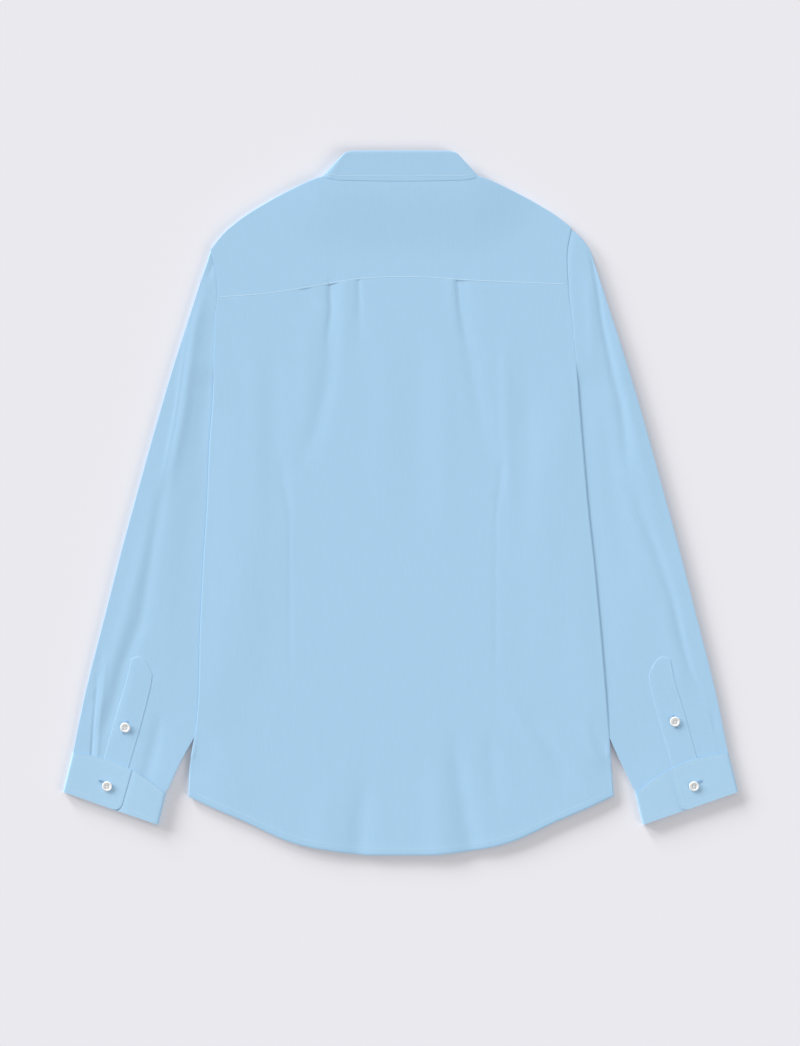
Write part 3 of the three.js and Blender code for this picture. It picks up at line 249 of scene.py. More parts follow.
def shell(name, grids, wall, material, welded=0.02):
    """A closed thin wall: its outer faces are the grids, joined where they meet, each running
    down by rows and across by columns so that its face points out."""
    points = np.concatenate([grid.reshape(-1, 3) for grid in grids])
    quads, start = [], 0
    for grid in grids:
        index = start + np.arange(grid.shape[0] * grid.shape[1]).reshape(grid.shape[:2])
        corners = (index[:-1, :-1], index[1:, :-1], index[1:, 1:], index[:-1, 1:])
        quads.append(np.stack(corners, axis=-1).reshape(-1, 4))
        start += index.size
    _, first, merged = np.unique(np.round(points / welded).astype(np.int64), axis=0, return_index=True, return_inverse=True)
    points, quads = points[first], merged.reshape(-1)[np.concatenate(quads)]
    normals = np.zeros_like(points)
    facing = np.cross(points[quads[:, 2]] - points[quads[:, 0]], points[quads[:, 3]] - points[quads[:, 1]])
    for corner in range(4):
        np.add.at(normals, quads[:, corner], facing)
    normals /= np.maximum(np.linalg.norm(normals, axis=1, keepdims=True), 1e-9)
    faces = []
    for quad in quads.tolist():
        face = [corner for i, corner in enumerate(quad) if corner != quad[i - 1]]
        if len(set(face)) == len(face) and len(face) > 2:
            faces.append(face)
    edges = {(face[i - 1], face[i]) for face in faces for i in range(len(face))}
    count = len(points)
    rims = [(b, a, a + count, b + count) for a, b in sorted(edges) if (b, a) not in edges]
    behind = [[corner + count for corner in reversed(face)] for face in faces]
    points = np.concatenate([points, points - normals * wall])
    points[:, 2] = np.maximum(points[:, 2], 0)
    return mesh_piece(name, points, faces + behind + rims, material)


def mesh_piece(name, points, faces, material):
    """A named object from points in millimetres and faces, shaded smooth with sharp rims."""
    mesh = bpy.data.meshes.new(name)
    mesh.from_pydata((points * 0.001).tolist(), [], faces)
    mesh.validate()
    mesh.polygons.foreach_set("use_smooth", [True] * len(mesh.polygons))
    mesh.set_sharp_from_angle(angle=math.radians(48))
    mesh.update()
    piece = bpy.data.objects.new(name, mesh)
    bpy.context.scene.collection.objects.link(piece)
    mesh.materials.append(material)
    return piece


def cloth(name, colour, turn, roughness, crumple):
    """Poplin: fine threads across each other, a little uneven, with a soft nap."""
    material = bpy.data.materials.new(name)
    material.use_nodes = True
    nodes, links = material.node_tree.nodes, material.node_tree.links
    surface = nodes["Principled BSDF"]
    surface.inputs["Roughness"].default_value = roughness
    surface.inputs["Sheen Weight"].default_value = 0.12
    surface.inputs["Sheen Roughness"].default_value = 0.5
    surface.inputs["Specular IOR Level"].default_value = 0.22
    place = nodes.new("ShaderNodeTexCoord")
    turned = nodes.new("ShaderNodeMapping")
    turned.inputs["Rotation"].default_value = (0, 0, turn)
    links.new(place.outputs["Object"], turned.inputs["Vector"])
    threads = []
    for direction, per_metre in (("X", 640), ("Y", 520)):
        wave = nodes.new("ShaderNodeTexWave")
        wave.bands_direction = direction
        wave.inputs["Scale"].default_value = per_metre
        wave.inputs["Distortion"].default_value = 0.6
        wave.inputs["Detail"].default_value = 1.0
        links.new(turned.outputs["Vector"], wave.inputs["Vector"])
        threads.append(wave)
    weave = nodes.new("ShaderNodeMath")
    weave.operation = "MULTIPLY"
    links.new(threads[0].outputs["Fac"], weave.inputs[0])
    links.new(threads[1].outputs["Fac"], weave.inputs[1])
    drawn = nodes.new("ShaderNodeMapping")
    drawn.inputs["Scale"].default_value = (1, 0.07, 1)
    links.new(turned.outputs["Vector"], drawn.inputs["Vector"])
    slub = nodes.new("ShaderNodeTexNoise")
    slub.inputs["Scale"].default_value = 700
    slub.inputs["Detail"].default_value = 3
    links.new(drawn.outputs["Vector"], slub.inputs["Vector"])
    creased = nodes.new("ShaderNodeTexNoise")
    creased.inputs["Scale"].default_value = 38
    creased.inputs["Detail"].default_value = 1
    links.new(drawn.outputs["Vector"], creased.inputs["Vector"])
    tint = nodes.new("ShaderNodeValToRGB")
    tint.color_ramp.elements[0].position = 0.25
    tint.color_ramp.elements[1].position = 0.75
    tint.color_ramp.elements[0].color = [channel * 0.985 for channel in colour] + [1]
    tint.color_ramp.elements[1].color = [min(channel * 1.012, 1) for channel in colour] + [1]
    links.new(slub.outputs["Fac"], tint.inputs["Fac"])
    lit = nodes.new("ShaderNodeMix")
    lit.data_type = "RGBA"
    lit.blend_type = "MULTIPLY"
    lit.inputs["Factor"].default_value = 0.10
    links.new(tint.outputs["Color"], lit.inputs["A"])
    links.new(weave.outputs["Value"], lit.inputs["B"])
    links.new(lit.outputs["Result"], surface.inputs["Base Color"])
    thread_bump = nodes.new("ShaderNodeBump")
    thread_bump.inputs["Strength"].default_value = 0.25
    thread_bump.inputs["Distance"].default_value = 0.00012
    links.new(weave.outputs["Value"], thread_bump.inputs["Height"])
    soft_bump = nodes.new("ShaderNodeBump")
    soft_bump.inputs["Strength"].default_value = crumple
    soft_bump.inputs["Distance"].default_value = 0.002
    links.new(creased.outputs["Fac"], soft_bump.inputs["Height"])
    links.new(thread_bump.outputs["Normal"], soft_bump.inputs["Normal"])
    links.new(soft_bump.outputs["Normal"], surface.inputs["Normal"])
    return material


SHIRT_BLUE = (0.413, 0.660, 0.890)
shirt_cloth = cloth("shirt_cloth", SHIRT_BLUE, 0.0, 0.8, 0.08)

back_across = spread((0, 0.4, 1.0, 1.9, 3.1, 4.6, 6.5, 9), 172)


def back_x(y):
    left, right = -side_half[-1](y), side_half[1](y)
    return left + back_across[0] + back_across[1] * (right - left)


back_down = np.concatenate([(0, 0.0008, 0.0016, 0.0021, 0.0024, 0.003, 0.0045, 0.0065), np.linspace(0.01, 0.975, 148), (0.98, 0.986, 0.991, 0.995, 0.998, 1)])
column_guess = np.zeros(len(back_across[0]))
back_start = settle(yoke_seam_y, back_x, column_guess + 225) + SEAM_UNDER
back_end = settle(lambda x: hem_y(np.abs(x)), back_x, column_guess - 340)
back_rows_y = mix(back_start, back_end, back_down[:, None])
back_rows_x = back_x(back_rows_y)


def back_face(x, y):
    """Top face of the back: its folds, the turned hem, the rolled side edges and the seams."""
    side = np.where(x < 0, -1, 1)
    inside = edge_half(x, y) - np.abs(x)
    z = body_top(x, y) + folds(x, y, body_folds)
    above_hem = y - hem_y(np.abs(x))
    z += 0.08 * (1 - ease(8.0, 9.6, above_hem)) - 0.08 * np.exp(-(((above_hem - 7.4) / 0.6) ** 2))
    z -= 0.45 * ease(0.1, 0.9, y - yoke_seam_y(x))
    level = np.where(side < 0, side_level(-1, y), side_level(1, y))
    rolled = mix(level, mix(level + 0.45, z, ease(0, 30, inside)), round_edge(inside, 1.2))
    at_armhole = z - 0.12 * (1 - round_edge(inside, 0.8))
    z = mix(rolled, at_armhole, ease(96, 134, y))
    return mix(z - 0.3, z, round_edge(above_hem, 0.6))


back_grid = np.stack([back_rows_x, back_rows_y, back_face(back_rows_x, back_rows_y)], axis=-1)
back = shell("back_panel", [back_grid], CLOTH_WALL, shirt_cloth)
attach(back, "root")
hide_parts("back")


def stitches(name, rows, material, pitch=2.9, gap=0.7, radius=0.2):
    """Rows of lockstitch: short rounded lengths of thread that follow lines of points."""
    points, faces = [], []
    around = np.arange(6) * math.tau / 6
    profile = ((0, 0.25), (0.12, 0.8), (0.5, 1.0), (0.88, 0.8), (1, 0.25))
    for row in rows:
        row = np.array(row, float)
        lengths = np.linalg.norm(np.diff(row, axis=0), axis=1)
        marks = np.concatenate([[0], np.cumsum(lengths)])
        for start in np.arange(0.4, marks[-1] - pitch, pitch):
            at = start + np.array([share for share, _ in profile]) * (pitch - gap)
            middle = np.stack([np.interp(at, marks, row[:, axis]) for axis in range(3)], axis=1)
            ahead = middle[-1] - middle[0]
            ahead /= np.linalg.norm(ahead)
            aside = np.cross(ahead, (0, 0, 1.0))
            aside /= max(np.linalg.norm(aside), 1e-6)
            up = np.cross(aside, ahead)
            first = len(points)
            for (share, wide), centre in zip(profile, middle):
                sunk = 0.12 * abs(2 * share - 1)
                for angle in around:
                    ring = aside * math.cos(angle) + up * math.sin(angle) * 0.4
                    points.append(centre + ring * radius * wide - up * sunk)
            for ring in range(len(profile) - 1):
                for i in range(6):
                    a, b = first + ring * 6 + i, first + ring * 6 + (i + 1) % 6
                    faces.append((a, b, b + 6, a + 6))
            faces.append([first + i for i in reversed(range(6))])
            faces.append([first + (len(profile) - 1) * 6 + i for i in range(6)])
    return mesh_piece(name, np.array(points), faces, material)


def thread(name, colour):
    """Spun sewing thread: two plies laid round each other, with a slight lustre."""
    material = bpy.data.materials.new(name)
    material.use_nodes = True
    nodes, links = material.node_tree.nodes, material.node_tree.links
    surface = nodes["Principled BSDF"]
    surface.inputs["Roughness"].default_value = 0.55
    place = nodes.new("ShaderNodeTexCoord")
    ply = nodes.new("ShaderNodeTexWave")
    ply.bands_direction = "DIAGONAL"
    ply.inputs["Scale"].default_value = 900
    links.new(place.outputs["Object"], ply.inputs["Vector"])
    tint = nodes.new("ShaderNodeValToRGB")
    tint.color_ramp.elements[0].color = [channel * 0.9 for channel in colour] + [1]
    tint.color_ramp.elements[1].color = [min(channel * 1.05, 1) for channel in colour] + [1]
    links.new(ply.outputs["Fac"], tint.inputs["Fac"])
    links.new(tint.outputs["Color"], surface.inputs["Base Color"])
    bump = nodes.new("ShaderNodeBump")
    bump.inputs["Strength"].default_value = 0.4
    bump.inputs["Distance"].default_value = 0.0001
    links.new(ply.outputs["Fac"], bump.inputs["Height"])
    links.new(bump.outputs["Normal"], surface.inputs["Normal"])
    return material


seam_thread = thread("seam_thread", (0.66, 0.84, 0.96))
hem_x = np.linspace(-214, 214, 260)
hem_row = np.stack([hem_x, hem_y(np.abs(hem_x)) + 7.4], axis=1)
hem_row = np.column_stack([hem_row, back_face(hem_row[:, 0], hem_row[:, 1]) + 0.08])
hem_stitches = stitches("hem_stitches", [hem_row], seam_thread)
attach(hem_stitches, "root")

# Yoke: one shaped piece over the shoulders, folded over to the front shoulder seams. Its seam
# with the back is pressed up and topstitched, and its front edges are sewn to the fronts.
YOKE_FRONT_DEPTH = 24.0
NECK_HALF = 74.0
NECK_SIDE_Y = 344.0
NECK_FRONT_Y = 265.0

shoulder_line = {
    "x": (74, 86.3, 114.5, 144.2, 168.4, 186.5, 199.1),
    "y": (344.6, 341.4, 329, 313.2, 297.5, 281.7, 266),
}
scoop_line = {"y": (118, 134, 152, 177, 205, 240, 266), "depth": (0, 0.6, 8, 16, 16, 6, 0.4)}
shoulder_y = through(shoulder_line, "x", "y")
scoop = through(scoop_line, "y", "depth")


def front_half(side, y):
    """Half width of a front: the side seam, and above it the deeper armhole."""
    return side_half[side](y) - np.where(y > UNDERARM_Y, scoop(y), 0)


def yoke_top_line(x):
    half = np.abs(x)
    return np.where(half > NECK_HALF, shoulder_y(half), 341.8 + 2.8 * (half / NECK_HALF) ** 2)


YOKE_MARGINS = (0, 0.5, 1.3, 2.6, 4.5)
FOLD_ABOVE_SEAM = 0.3  # share of the folds that shows through the yoke


def yoke_face(x, y):
    """Top face of the yoke: the folds of the back die out above its seam."""
    above = y - yoke_seam_y(x)
    return body_top(x, y) + folds(x, y, body_folds) * FOLD_ABOVE_SEAM * (1 - ease(0, 30, above))


yoke_side = spread(YOKE_MARGINS, 42)
yoke_middle = np.linspace(-NECK_HALF, NECK_HALF, 64)


def yoke_x(y, block):
    """Places across the yoke: out to an armhole on each side, and the stretch at the neck."""
    if block == 0:
        return yoke_middle + 0 * y
    outer = side_half[block](y) - 2 * SEAM_GAP
    half = NECK_HALF + yoke_side[0] + yoke_side[1] * (outer - NECK_HALF)
    return -half[..., ::-1] if block < 0 else half


yoke_down = np.concatenate([(0, 0.0015, 0.004, 0.008, 0.014, 0.022, 0.032, 0.045), np.linspace(0.06, 0.975, 52), (0.985, 0.993, 1)])
yoke_grids = []
for block in (-1, 0, 1):
    count = len(yoke_middle) if block == 0 else len(yoke_side[0])
    start_y = settle(yoke_top_line, lambda y, block=block: yoke_x(y if block == 0 else y[..., ::block], block), np.full(count, 300.0))
    low_y = settle(yoke_seam_y, lambda y, block=block: yoke_x(y if block == 0 else y[..., ::block], block), np.full(count, 228.0)) + SEAM_GAP
    y = mix(start_y, low_y, yoke_down[:, None])
    x = yoke_x(y if block == 0 else y[..., ::block], block)
    high = yoke_face(x, y)
    inside = edge_half(x, y) - np.abs(x)
    high -= 0.1 * (1 - round_edge(inside, 0.8)) * (np.abs(x) > NECK_HALF)
    to_seam = y - yoke_seam_y(x)
    high += 0.02 * (1 - ease(8, 22, to_seam)) - 0.06 * (1 - ease(0, 0.9, to_seam))
    z = high
    if block:
        low = front_low(block, np.abs(x), y)
        z = mix(low, high, 0.5 + 0.5 * round_edge(start_y - y, 0.6))
    yoke_grids.append(np.stack([x, y, z], axis=-1))
    if block:
        depth = np.array((0, 0.25, 0.7, 1.5, 2.4, 3.4, 5, 8, 12, 16, 20, 22.5, YOKE_FRONT_DEPTH - SEAM_GAP))[:, None]
        first = np.abs(x[0])
        outer_end, neck_end = first.max(), first.min()
        arm_y = start_y[0 if block < 0 else -1] - depth
        arm_end = np.minimum(front_half(block, arm_y) - 2 * SEAM_GAP, outer_end)
        drop = np.clip((NECK_SIDE_Y - (shoulder_y(NECK_HALF) - depth)) / (NECK_SIDE_Y - NECK_FRONT_Y), 0, 1)
        low_neck = np.minimum(NECK_HALF * np.sqrt(1 - drop**2) + 0.45, NECK_HALF)
        low_neck = mix(neck_end, low_neck, np.clip(depth / 2, 0, 1))
        half = low_neck + (first - neck_end) / (outer_end - neck_end) * (arm_end - low_neck)
        flap_y = mix(start_y[None, :], shoulder_y(half), np.clip(depth / 3, 0, 1)) - depth
        low, high = front_low(block, half, flap_y), body_top(block * half, flap_y) + 0 * half
        flap_z = mix(low, high, 0.5 - 0.5 * round_edge(depth, 3.2))
        flap_z[0] = z[0]
        flap = np.stack([block * half, flap_y, flap_z], axis=-1)
        yoke_grids.append(flap[:, ::-1])
yoke = shell("yoke_panel", yoke_grids, CLOTH_WALL, shirt_cloth)
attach(yoke, "root")
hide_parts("yoke")


seam_x = np.linspace(-189, 172, 240)
stitch_y = yoke_seam_y(seam_x) + 1.3
yoke_row = np.stack([seam_x, stitch_y, yoke_face(seam_x, stitch_y) + 0.1], axis=-1)
yoke_stitches = stitches("yoke_stitches", [yoke_row], seam_thread, pitch=3.2, gap=1.3, radius=0.42)
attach(yoke_stitches, "root")

# Fronts: two panels under the back, face down. The wearer's right one laps over the left one and
# has the buttonholes, and both have a turned and stitched band along the front edge.
FRONT_OVERLAP = 15.0
FRONT_LAP = 1.5
FRONT_HEM_RISE = 15.0
front_across = spread((0, 0.6, 1.4, 2.6, 4.2, 6.5), 84)


def neck_y(half):
    reach = NECK_SIDE_Y - NECK_FRONT_Y
    return NECK_SIDE_Y - reach * np.sqrt(np.clip(1 - (half / NECK_HALF) ** 2, 0, 1))


def front_top_line(half):
    return np.where(half > 70.8, shoulder_y(half) - YOKE_FRONT_DEPTH, np.minimum(neck_y(np.abs(half)), 321))


def front_half_x(side, y):
    edge = front_half(side, np.minimum(y, 262))
    return edge - front_across[0] - front_across[1] * (edge + FRONT_OVERLAP)


def front_hem_y(half):
    return hem_y(np.abs(half)) + FRONT_HEM_RISE * (1 - (half / 222) ** 2)


def front_face(side, half, y):
    """Lower face of a front, which is its right side: the band, its stitching and the turned hem."""
    low = front_low(side, half, y)
    if side < 0:
        low = low + FRONT_LAP * (1 - ease(16, 38, half))
    band = half + FRONT_OVERLAP
    low = low + 0.25 * ease(29, 31, band) * (1 - ease(33, 50, band))
    inside = front_half(side, y) - half
    rolled = mix(side_level(side, y), low, round_edge(inside, 5))
    return mix(rolled, low, ease(96, 134, y))


front_down = np.concatenate([(0, 0.002), np.linspace(0.006, 0.985, 116), (0.99, 0.995, 1)])
for side, name in ((-1, "left"), (1, "right")):
    guess = np.full(len(front_across[0]), 280.0)
    start_y = settle(front_top_line, lambda y, side=side: front_half_x(side, y), guess) - SEAM_GAP
    end_y = settle(front_hem_y, lambda y, side=side: front_half_x(side, y), guess - 600)
    y = mix(start_y, end_y, front_down[:, None])
    half = front_half_x(side, y)
    grid = np.stack([side * half, y, front_face(side, half, y)], axis=-1)
    front = shell(f"front_{name}_panel", [grid if side > 0 else grid[:, ::-1]], CLOTH_WALL, shirt_cloth)
    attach(front, "root")
    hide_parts(f"front_{name}")
    rows = []
    for place in (-FRONT_OVERLAP + 2, FRONT_OVERLAP - 2) if side > 0 else (-FRONT_OVERLAP + 2,):
        row_y = np.linspace(262 if abs(place) < 14 else 264, -345, 200)
        rows.append(np.stack([np.full(200, side * place), row_y, front_face(side, np.full(200, place), row_y) - 0.08], axis=-1))
    row_half = np.linspace(212, -12, 120)
    row_y = front_hem_y(row_half) + 7.4
    rows.append(np.stack([side * row_half, row_y, front_face(side, row_half, row_y) - 0.08], axis=-1))
    front_stitches = stitches(f"front_{name}_stitches", rows, seam_thread)
    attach(front_stitches, "root")

# Collar: the stand is a stiffened band on the neck seam, and the turned down collar is folded
# over it, topstitched along its edge, with two points that lie under the fronts here.
BAND_WALL = 0.9
STAND_SHARE = 0.82
collar_sections = {
    "seam_x": (0, 24, 44, 58, 66, 71.6, 73.6, 73.4, 72.8, 70.8, 60, 44, 24),
    "seam_y": (342, 342.2, 342.8, 343.4, 343.8, 344, 342.6, 336.5, 330.5, 321.3, 297.8, 280.5, 269.3),
    "fold_x": (0, 22, 41, 53, 58.4, 61.0, 61.8, 60.8, 58.6, 54, 42, 26, 6),
    "fold_y": (369.2, 369.2, 369.1, 368.6, 366.8, 364.6, 362, 356, 350, 341, 322, 306, 293),
    "edge_x": (0, 25, 50, 70, 77.5, 81.2, 82.4, 84.0, 87.0, 89, 84, 76, 66),
    "edge_y": (337.4, 337.6, 338.2, 339.2, 341.0, 342.8, 341.6, 339.6, 334.5, 318, 294, 274, 257),
    "level": (1, 1, 1, 1, 1, 0.92, 0.5, 0.2, 0, 0, 0, 0, 0),
}
interlined = cloth("interlined_cloth", SHIRT_BLUE, 0.0, 0.75, 0.04)


def collar_station(sign, seam_x, seam_y, fold_x, fold_y, edge_x, edge_y, level, raised=0.0):
    """A section of the collar: its seam, its upper fold, its free edge and the way out."""
    turn = (level - 0.5) * math.pi
    z = mix(NECK_FRONT, NECK_LOFT, level)
    seam = np.array((seam_x, seam_y, z + raised))
    fold = np.array((fold_x, fold_y, z + raised))
    up = (fold - seam) / np.linalg.norm(fold - seam)
    out = np.array((math.cos(turn), 0, math.sin(turn)))
    out -= up * out.dot(up)
    out /= np.linalg.norm(out)
    edge = np.array((edge_x, edge_y, mix(0, NECK_LOFT + 0.2, level)))
    return {"seam": seam, "fold": fold, "out": out, "edge": edge, "lift": mix(1.5, 0.95, level), "flip": np.array((sign, 1, 1))}


collar_rows = list(zip(*collar_sections.values()))
left_stations = [collar_station(-1, *row) for row in reversed(collar_rows[1:])]
right_stations = [collar_station(1, *row) for row in collar_rows]
collar_stations = left_stations + right_stations


def stand_end(sign, half, raised, height):
    y = float(neck_y(np.array(float(half))))
    return collar_station(sign, half, y, half * 0.3, y + height, 0, 0, 0, raised)


stand_ends = ((-14, 17), (-11, 24), (0, 27), (14, 26))
stand_stations = [stand_end(-1, half, FRONT_LAP, height) for half, height in stand_ends]
stand_stations += collar_stations
stand_stations += [stand_end(1, half, 0, height) for half, height in reversed(stand_ends)]


def fine(grid, row_step, column_step):
    """Fills a coarse grid of points with a smooth one, no step longer than those given."""
    for axis, step in ((0, row_step), (1, column_step)):
        grid = np.moveaxis(grid, axis, 0)
        chords = np.maximum(np.linalg.norm(np.diff(grid, axis=0), axis=-1).mean(axis=1), 1e-6)
        knots = np.concatenate([[0], np.cumsum(chords)])
        places = [np.linspace(a, b, max(1, math.ceil((b - a) / step)), endpoint=False) for a, b in zip(knots[:-1], knots[1:])]
        grid = np.moveaxis(hermite(knots, grid, np.concatenate(places + [[knots[-1]]])), 0, axis)
    return grid


def along_stand(station, share):
    return mix(station["seam"], station["fold"], share) * station["flip"]


stand_grid = np.array([[along_stand(s, share) for s in stand_stations] for share in (STAND_SHARE, 0.54, 0.27, 0.02)])
stand = shell("collar_stand_band", [fine(stand_grid, 2.5, 3)], BAND_WALL, interlined)
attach(stand, "root")
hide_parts("collar_stand")


def fall_section(station):
    def on(share, out):
        return mix(station["seam"], station["fold"], share) + station["out"] * out

    lift = station["lift"]
    over = on(0.96, lift)
    section = [on(STAND_SHARE + 0.04, -1.2), on(0.95, -1.0), on(1, lift / 2 - 0.6), on(0.996, lift - 0.3), over]
    section += [mix(over, station["edge"], share) for share in (0.05, 0.36, 0.68, 1)]
    return np.array(section) * station["flip"]


fall_grid = fine(np.array([fall_section(station) for station in collar_stations]).transpose(1, 0, 2), 2.2, 2.5)
collar = shell("collar_leaf", [fall_grid], CLOTH_WALL, interlined)
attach(collar, "root")
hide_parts("collar_fall")
steps = np.linalg.norm(np.diff(fall_grid, axis=0), axis=-1)
from_edge = np.concatenate([np.cumsum(steps[::-1], axis=0)[::-1], np.zeros((1, fall_grid.shape[1]))])
edge_row = []
for column in range(2, fall_grid.shape[1] - 2):
    reach = np.array([np.interp(-5.0, -from_edge[:, column], fall_grid[:, column, axis]) for axis in range(3)])
    level = np.clip((reach[2] - 2) / 6, 0, 1)
    edge_row.append(reach + np.array((0, 0, 0.12 * level)))
collar_stitches = stitches("collar_stitches", [edge_row], seam_thread, pitch=2.6, gap=0.9, radius=0.26)
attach(collar_stitches, "root")

# Sleeves: each one is a tube of the shirt cloth, set into the armhole, pressed flat, with its
# inner edge tucked under the body and a pleat at the cuff.
SLEEVE_LOFT = 5.8
CUFF_SEAM_LOFT = 4.7
LAST_SECTION = 12
SLEEVE_EDGE_RADIUS = 0.4
sleeve_outline = {
    "y": (-262.2, -206.5, -112, -49, 14, 77, 140, 203, 250.2, 266, 281.7, 288),
    "x": (343.6, 332.2, 308.5, 292.4, 275.2, 257.7, 239.2, 219, 204, 198.6, 186.5, 179),
}
sleeve_sections = {
    "at": (0, 1, 2, 3, 4, 5, 6, 7, 8, 9, 10, 11, 12),
    "outer_y": (288, 232, 185, 148, 115, 80, 40, -8, -62, -115, -165, -215, -262.2),
    "inner_y": (118, 116.5, 115, 111, 94, 66, 28, -20, -82, -140, -195, -251, -305.9),
    "tuck": (1.0, 1.0, 1.2, 2.4, 14, 38, 62, 72, 60, 41, 20, -2, -24),
}
sleeve_x = through(sleeve_outline, "y", "x")
outer_y_at = through(sleeve_sections, "at", "outer_y")
inner_y_at = through(sleeve_sections, "at", "inner_y")
tuck_at = through(sleeve_sections, "at", "tuck")
shoulder_end = {-1: (199.1, 266.0), 1: (179.0, 288.0)}
cuff_corners = {
    "top_outer": np.array((343.6, -262.2)),
    "top_inner": np.array((246.4, -305.9)),
    "free_outer": np.array((353.8, -302.6)),
    "free_inner": np.array((254.0, -337.0)),
}
CUFF_BOW = 9.7
INNER_RISE = {-1: 0.22, 1: 0.08}

# The folds of each sleeve, in half widths from the middle of the shirt
sleeve_folds = {
    -1: (
        ("ridge", ((202, 250), (220, 186), (224, 156), (232, 97), (241, 52), (254, -4)), (6, 7), (0.6, 0.9), (0.3, 0.3)),
        ("ridge", ((206, 250), (224.3, 186), (228.5, 156), (236.9, 97), (245.3, 52), (258, -4)), (1.6, 2), (0.15, 0.2), (0.3, 0.3)),
        ("trough", ((240, 60), (256, 1), (265.2, -47), (277.3, -122), (295.7, -166), (306.5, -206), (321, -250)), (5, 9), (0.4, 0.75), (0.3, 0.1)),
        ("ridge", ((256, 20), (276, -60), (296, -130), (312, -190), (328, -250)), (7, 8), (0.3, 0.5), (0.3, 0.1)),
        ("trough", ((314, -140), (315.7, -164), (319.6, -199), (322.7, -234), (325, -268)), (0.8, 0.9), (0.3, 0.7), (0.2, 0)),
        ("ridge", ((309, -150), (314, -199), (318, -240), (320, -268)), (2.5, 2.5), (0.2, 0.4), (0.3, 0)),
        ("trough", ((255, -212), (262.1, -250), (272, -284)), (6, 8), (0.4, 0.6), (0.4, 0)),
        ("trough", ((202, 216), (207, 150), (216, 70), (222, 0)), (9, 11), (0.5, 0.35), (0.2, 0.5)),
        ("trough", ((194.5, 262), (199, 250), (206, 232)), (2.5, 3.5), (0.4, 0.2), (0.2, 0.4)),
        ("trough", ((224, 30), (236, -60), (246, -150)), (12, 14), (0.25, 0.2), (0.4, 0.4)),
    ),
    1: (
        ("trough", ((190, 276), (199, 257), (205, 222), (209.3, 187), (219.5, 136), (227, 106), (231, 75), (233, 40), (238, 14)), (1.3, 7), (0.5, 0.8), (0.1, 0.3)),
        ("trough", ((232, 34), (242, 4), (250, -17), (265, -53), (281, -98), (291, -140), (301, -175), (311, -196), (318, -216)), (7, 2.5), (0.7, 0.5), (0.3, 0.3)),
        ("ridge", ((215, 200), (228, 130), (244, 60), (258, 0), (274, -60)), (7, 9), (0.4, 0.5), (0.2, 0.4)),
        ("trough", ((322, -212), (327, -232), (331.5, -246), (334.5, -268)), (0.8, 0.8), (0.3, 0.5), (0.3, 0)),
        ("trough", ((205, 110), (214, 30), (228, -60), (240, -130)), (10, 14), (0.5, 0.5), (0.3, 0.4)),
        ("ridge", ((192, 250), (196, 190), (199, 130)), (5, 6), (0.3, 0.25), (0.3, 0.4)),
        ("ridge", ((266, -100), (284, -165), (298, -220)), (6, 8), (0.25, 0.25), (0.3, 0.4)),
    ),
}


def inner_rise(side, half):
    """How much higher a cuff stands towards its inner fold, more so on the left."""
    return 1 + INNER_RISE[side] * ease(320, 262, half)


def sleeve_top(side, half, y):
    """Top face of a sleeve over the plan, with its folds."""
    outside = half - side_half[side](y)
    loft = mix(4.8, SLEEVE_LOFT, ease(-262, -60, y))
    beside_body = mix(SLEEVE_UNDER_BODY, SLEEVE_AT_BODY, ease(-32, 0, outside))
    beside_body = mix(beside_body, loft, ease(0, 40, outside))
    z = mix(beside_body, loft, ease(118, 150, y))
    seam_run = cuff_corners["top_inner"] - cuff_corners["top_outer"]
    seam_run = seam_run / np.linalg.norm(seam_run)
    above = (half - cuff_corners["top_outer"][0]) * -seam_run[1] + (y - cuff_corners["top_outer"][1]) * seam_run[0]
    z = mix(CUFF_SEAM_LOFT * inner_rise(side, half), z, ease(0, 44, -above))
    z = z + folds(half, y, sleeve_folds[side], side)
    return z - 0.45 * (1 - ease(-1.2, -0.15, outside)) * ease(112, 134, y)


def sleeve_plan(side, at, share, low):
    """Half width and height at a share of the way from the outer to the inner edge of a section."""
    start_x, start_y = shoulder_end[side]
    outer_y = mix(start_y, outer_y_at(1.0), at) if at < 1 else outer_y_at(float(at))
    outer_x = start_x if at == 0 else sleeve_x(outer_y)
    inner_y = inner_y_at(float(at))
    inner_x = cuff_corners["top_inner"][0] if at > 11.9 else side_half[side](inner_y) - tuck_at(float(at))
    edge_at = (lambda y: front_half(side, y)) if low else side_half[side]
    fade = max(1 - at / 2, 0) ** 2
    y = mix(outer_y, inner_y, share)
    start_line = mix(start_x, side_half[side](UNDERARM_Y), share)
    x = mix(outer_x, inner_x, share) + (edge_at(mix(start_y, UNDERARM_Y, share)) - start_line) * fade
    past_seam = 2 * SEAM_GAP if low else -SEAM_UNDER
    x = np.where(y > UNDERARM_Y, np.maximum(x, edge_at(y)), x) + past_seam * fade * (y > UNDERARM_Y)
    bow = CUFF_BOW * max(at - LAST_SECTION + 2, 0) / 2 * 4 * share * (1 - share)
    return x - bow * 0.4, y + bow * 0.9, math.hypot(outer_x - inner_x, outer_y - inner_y)


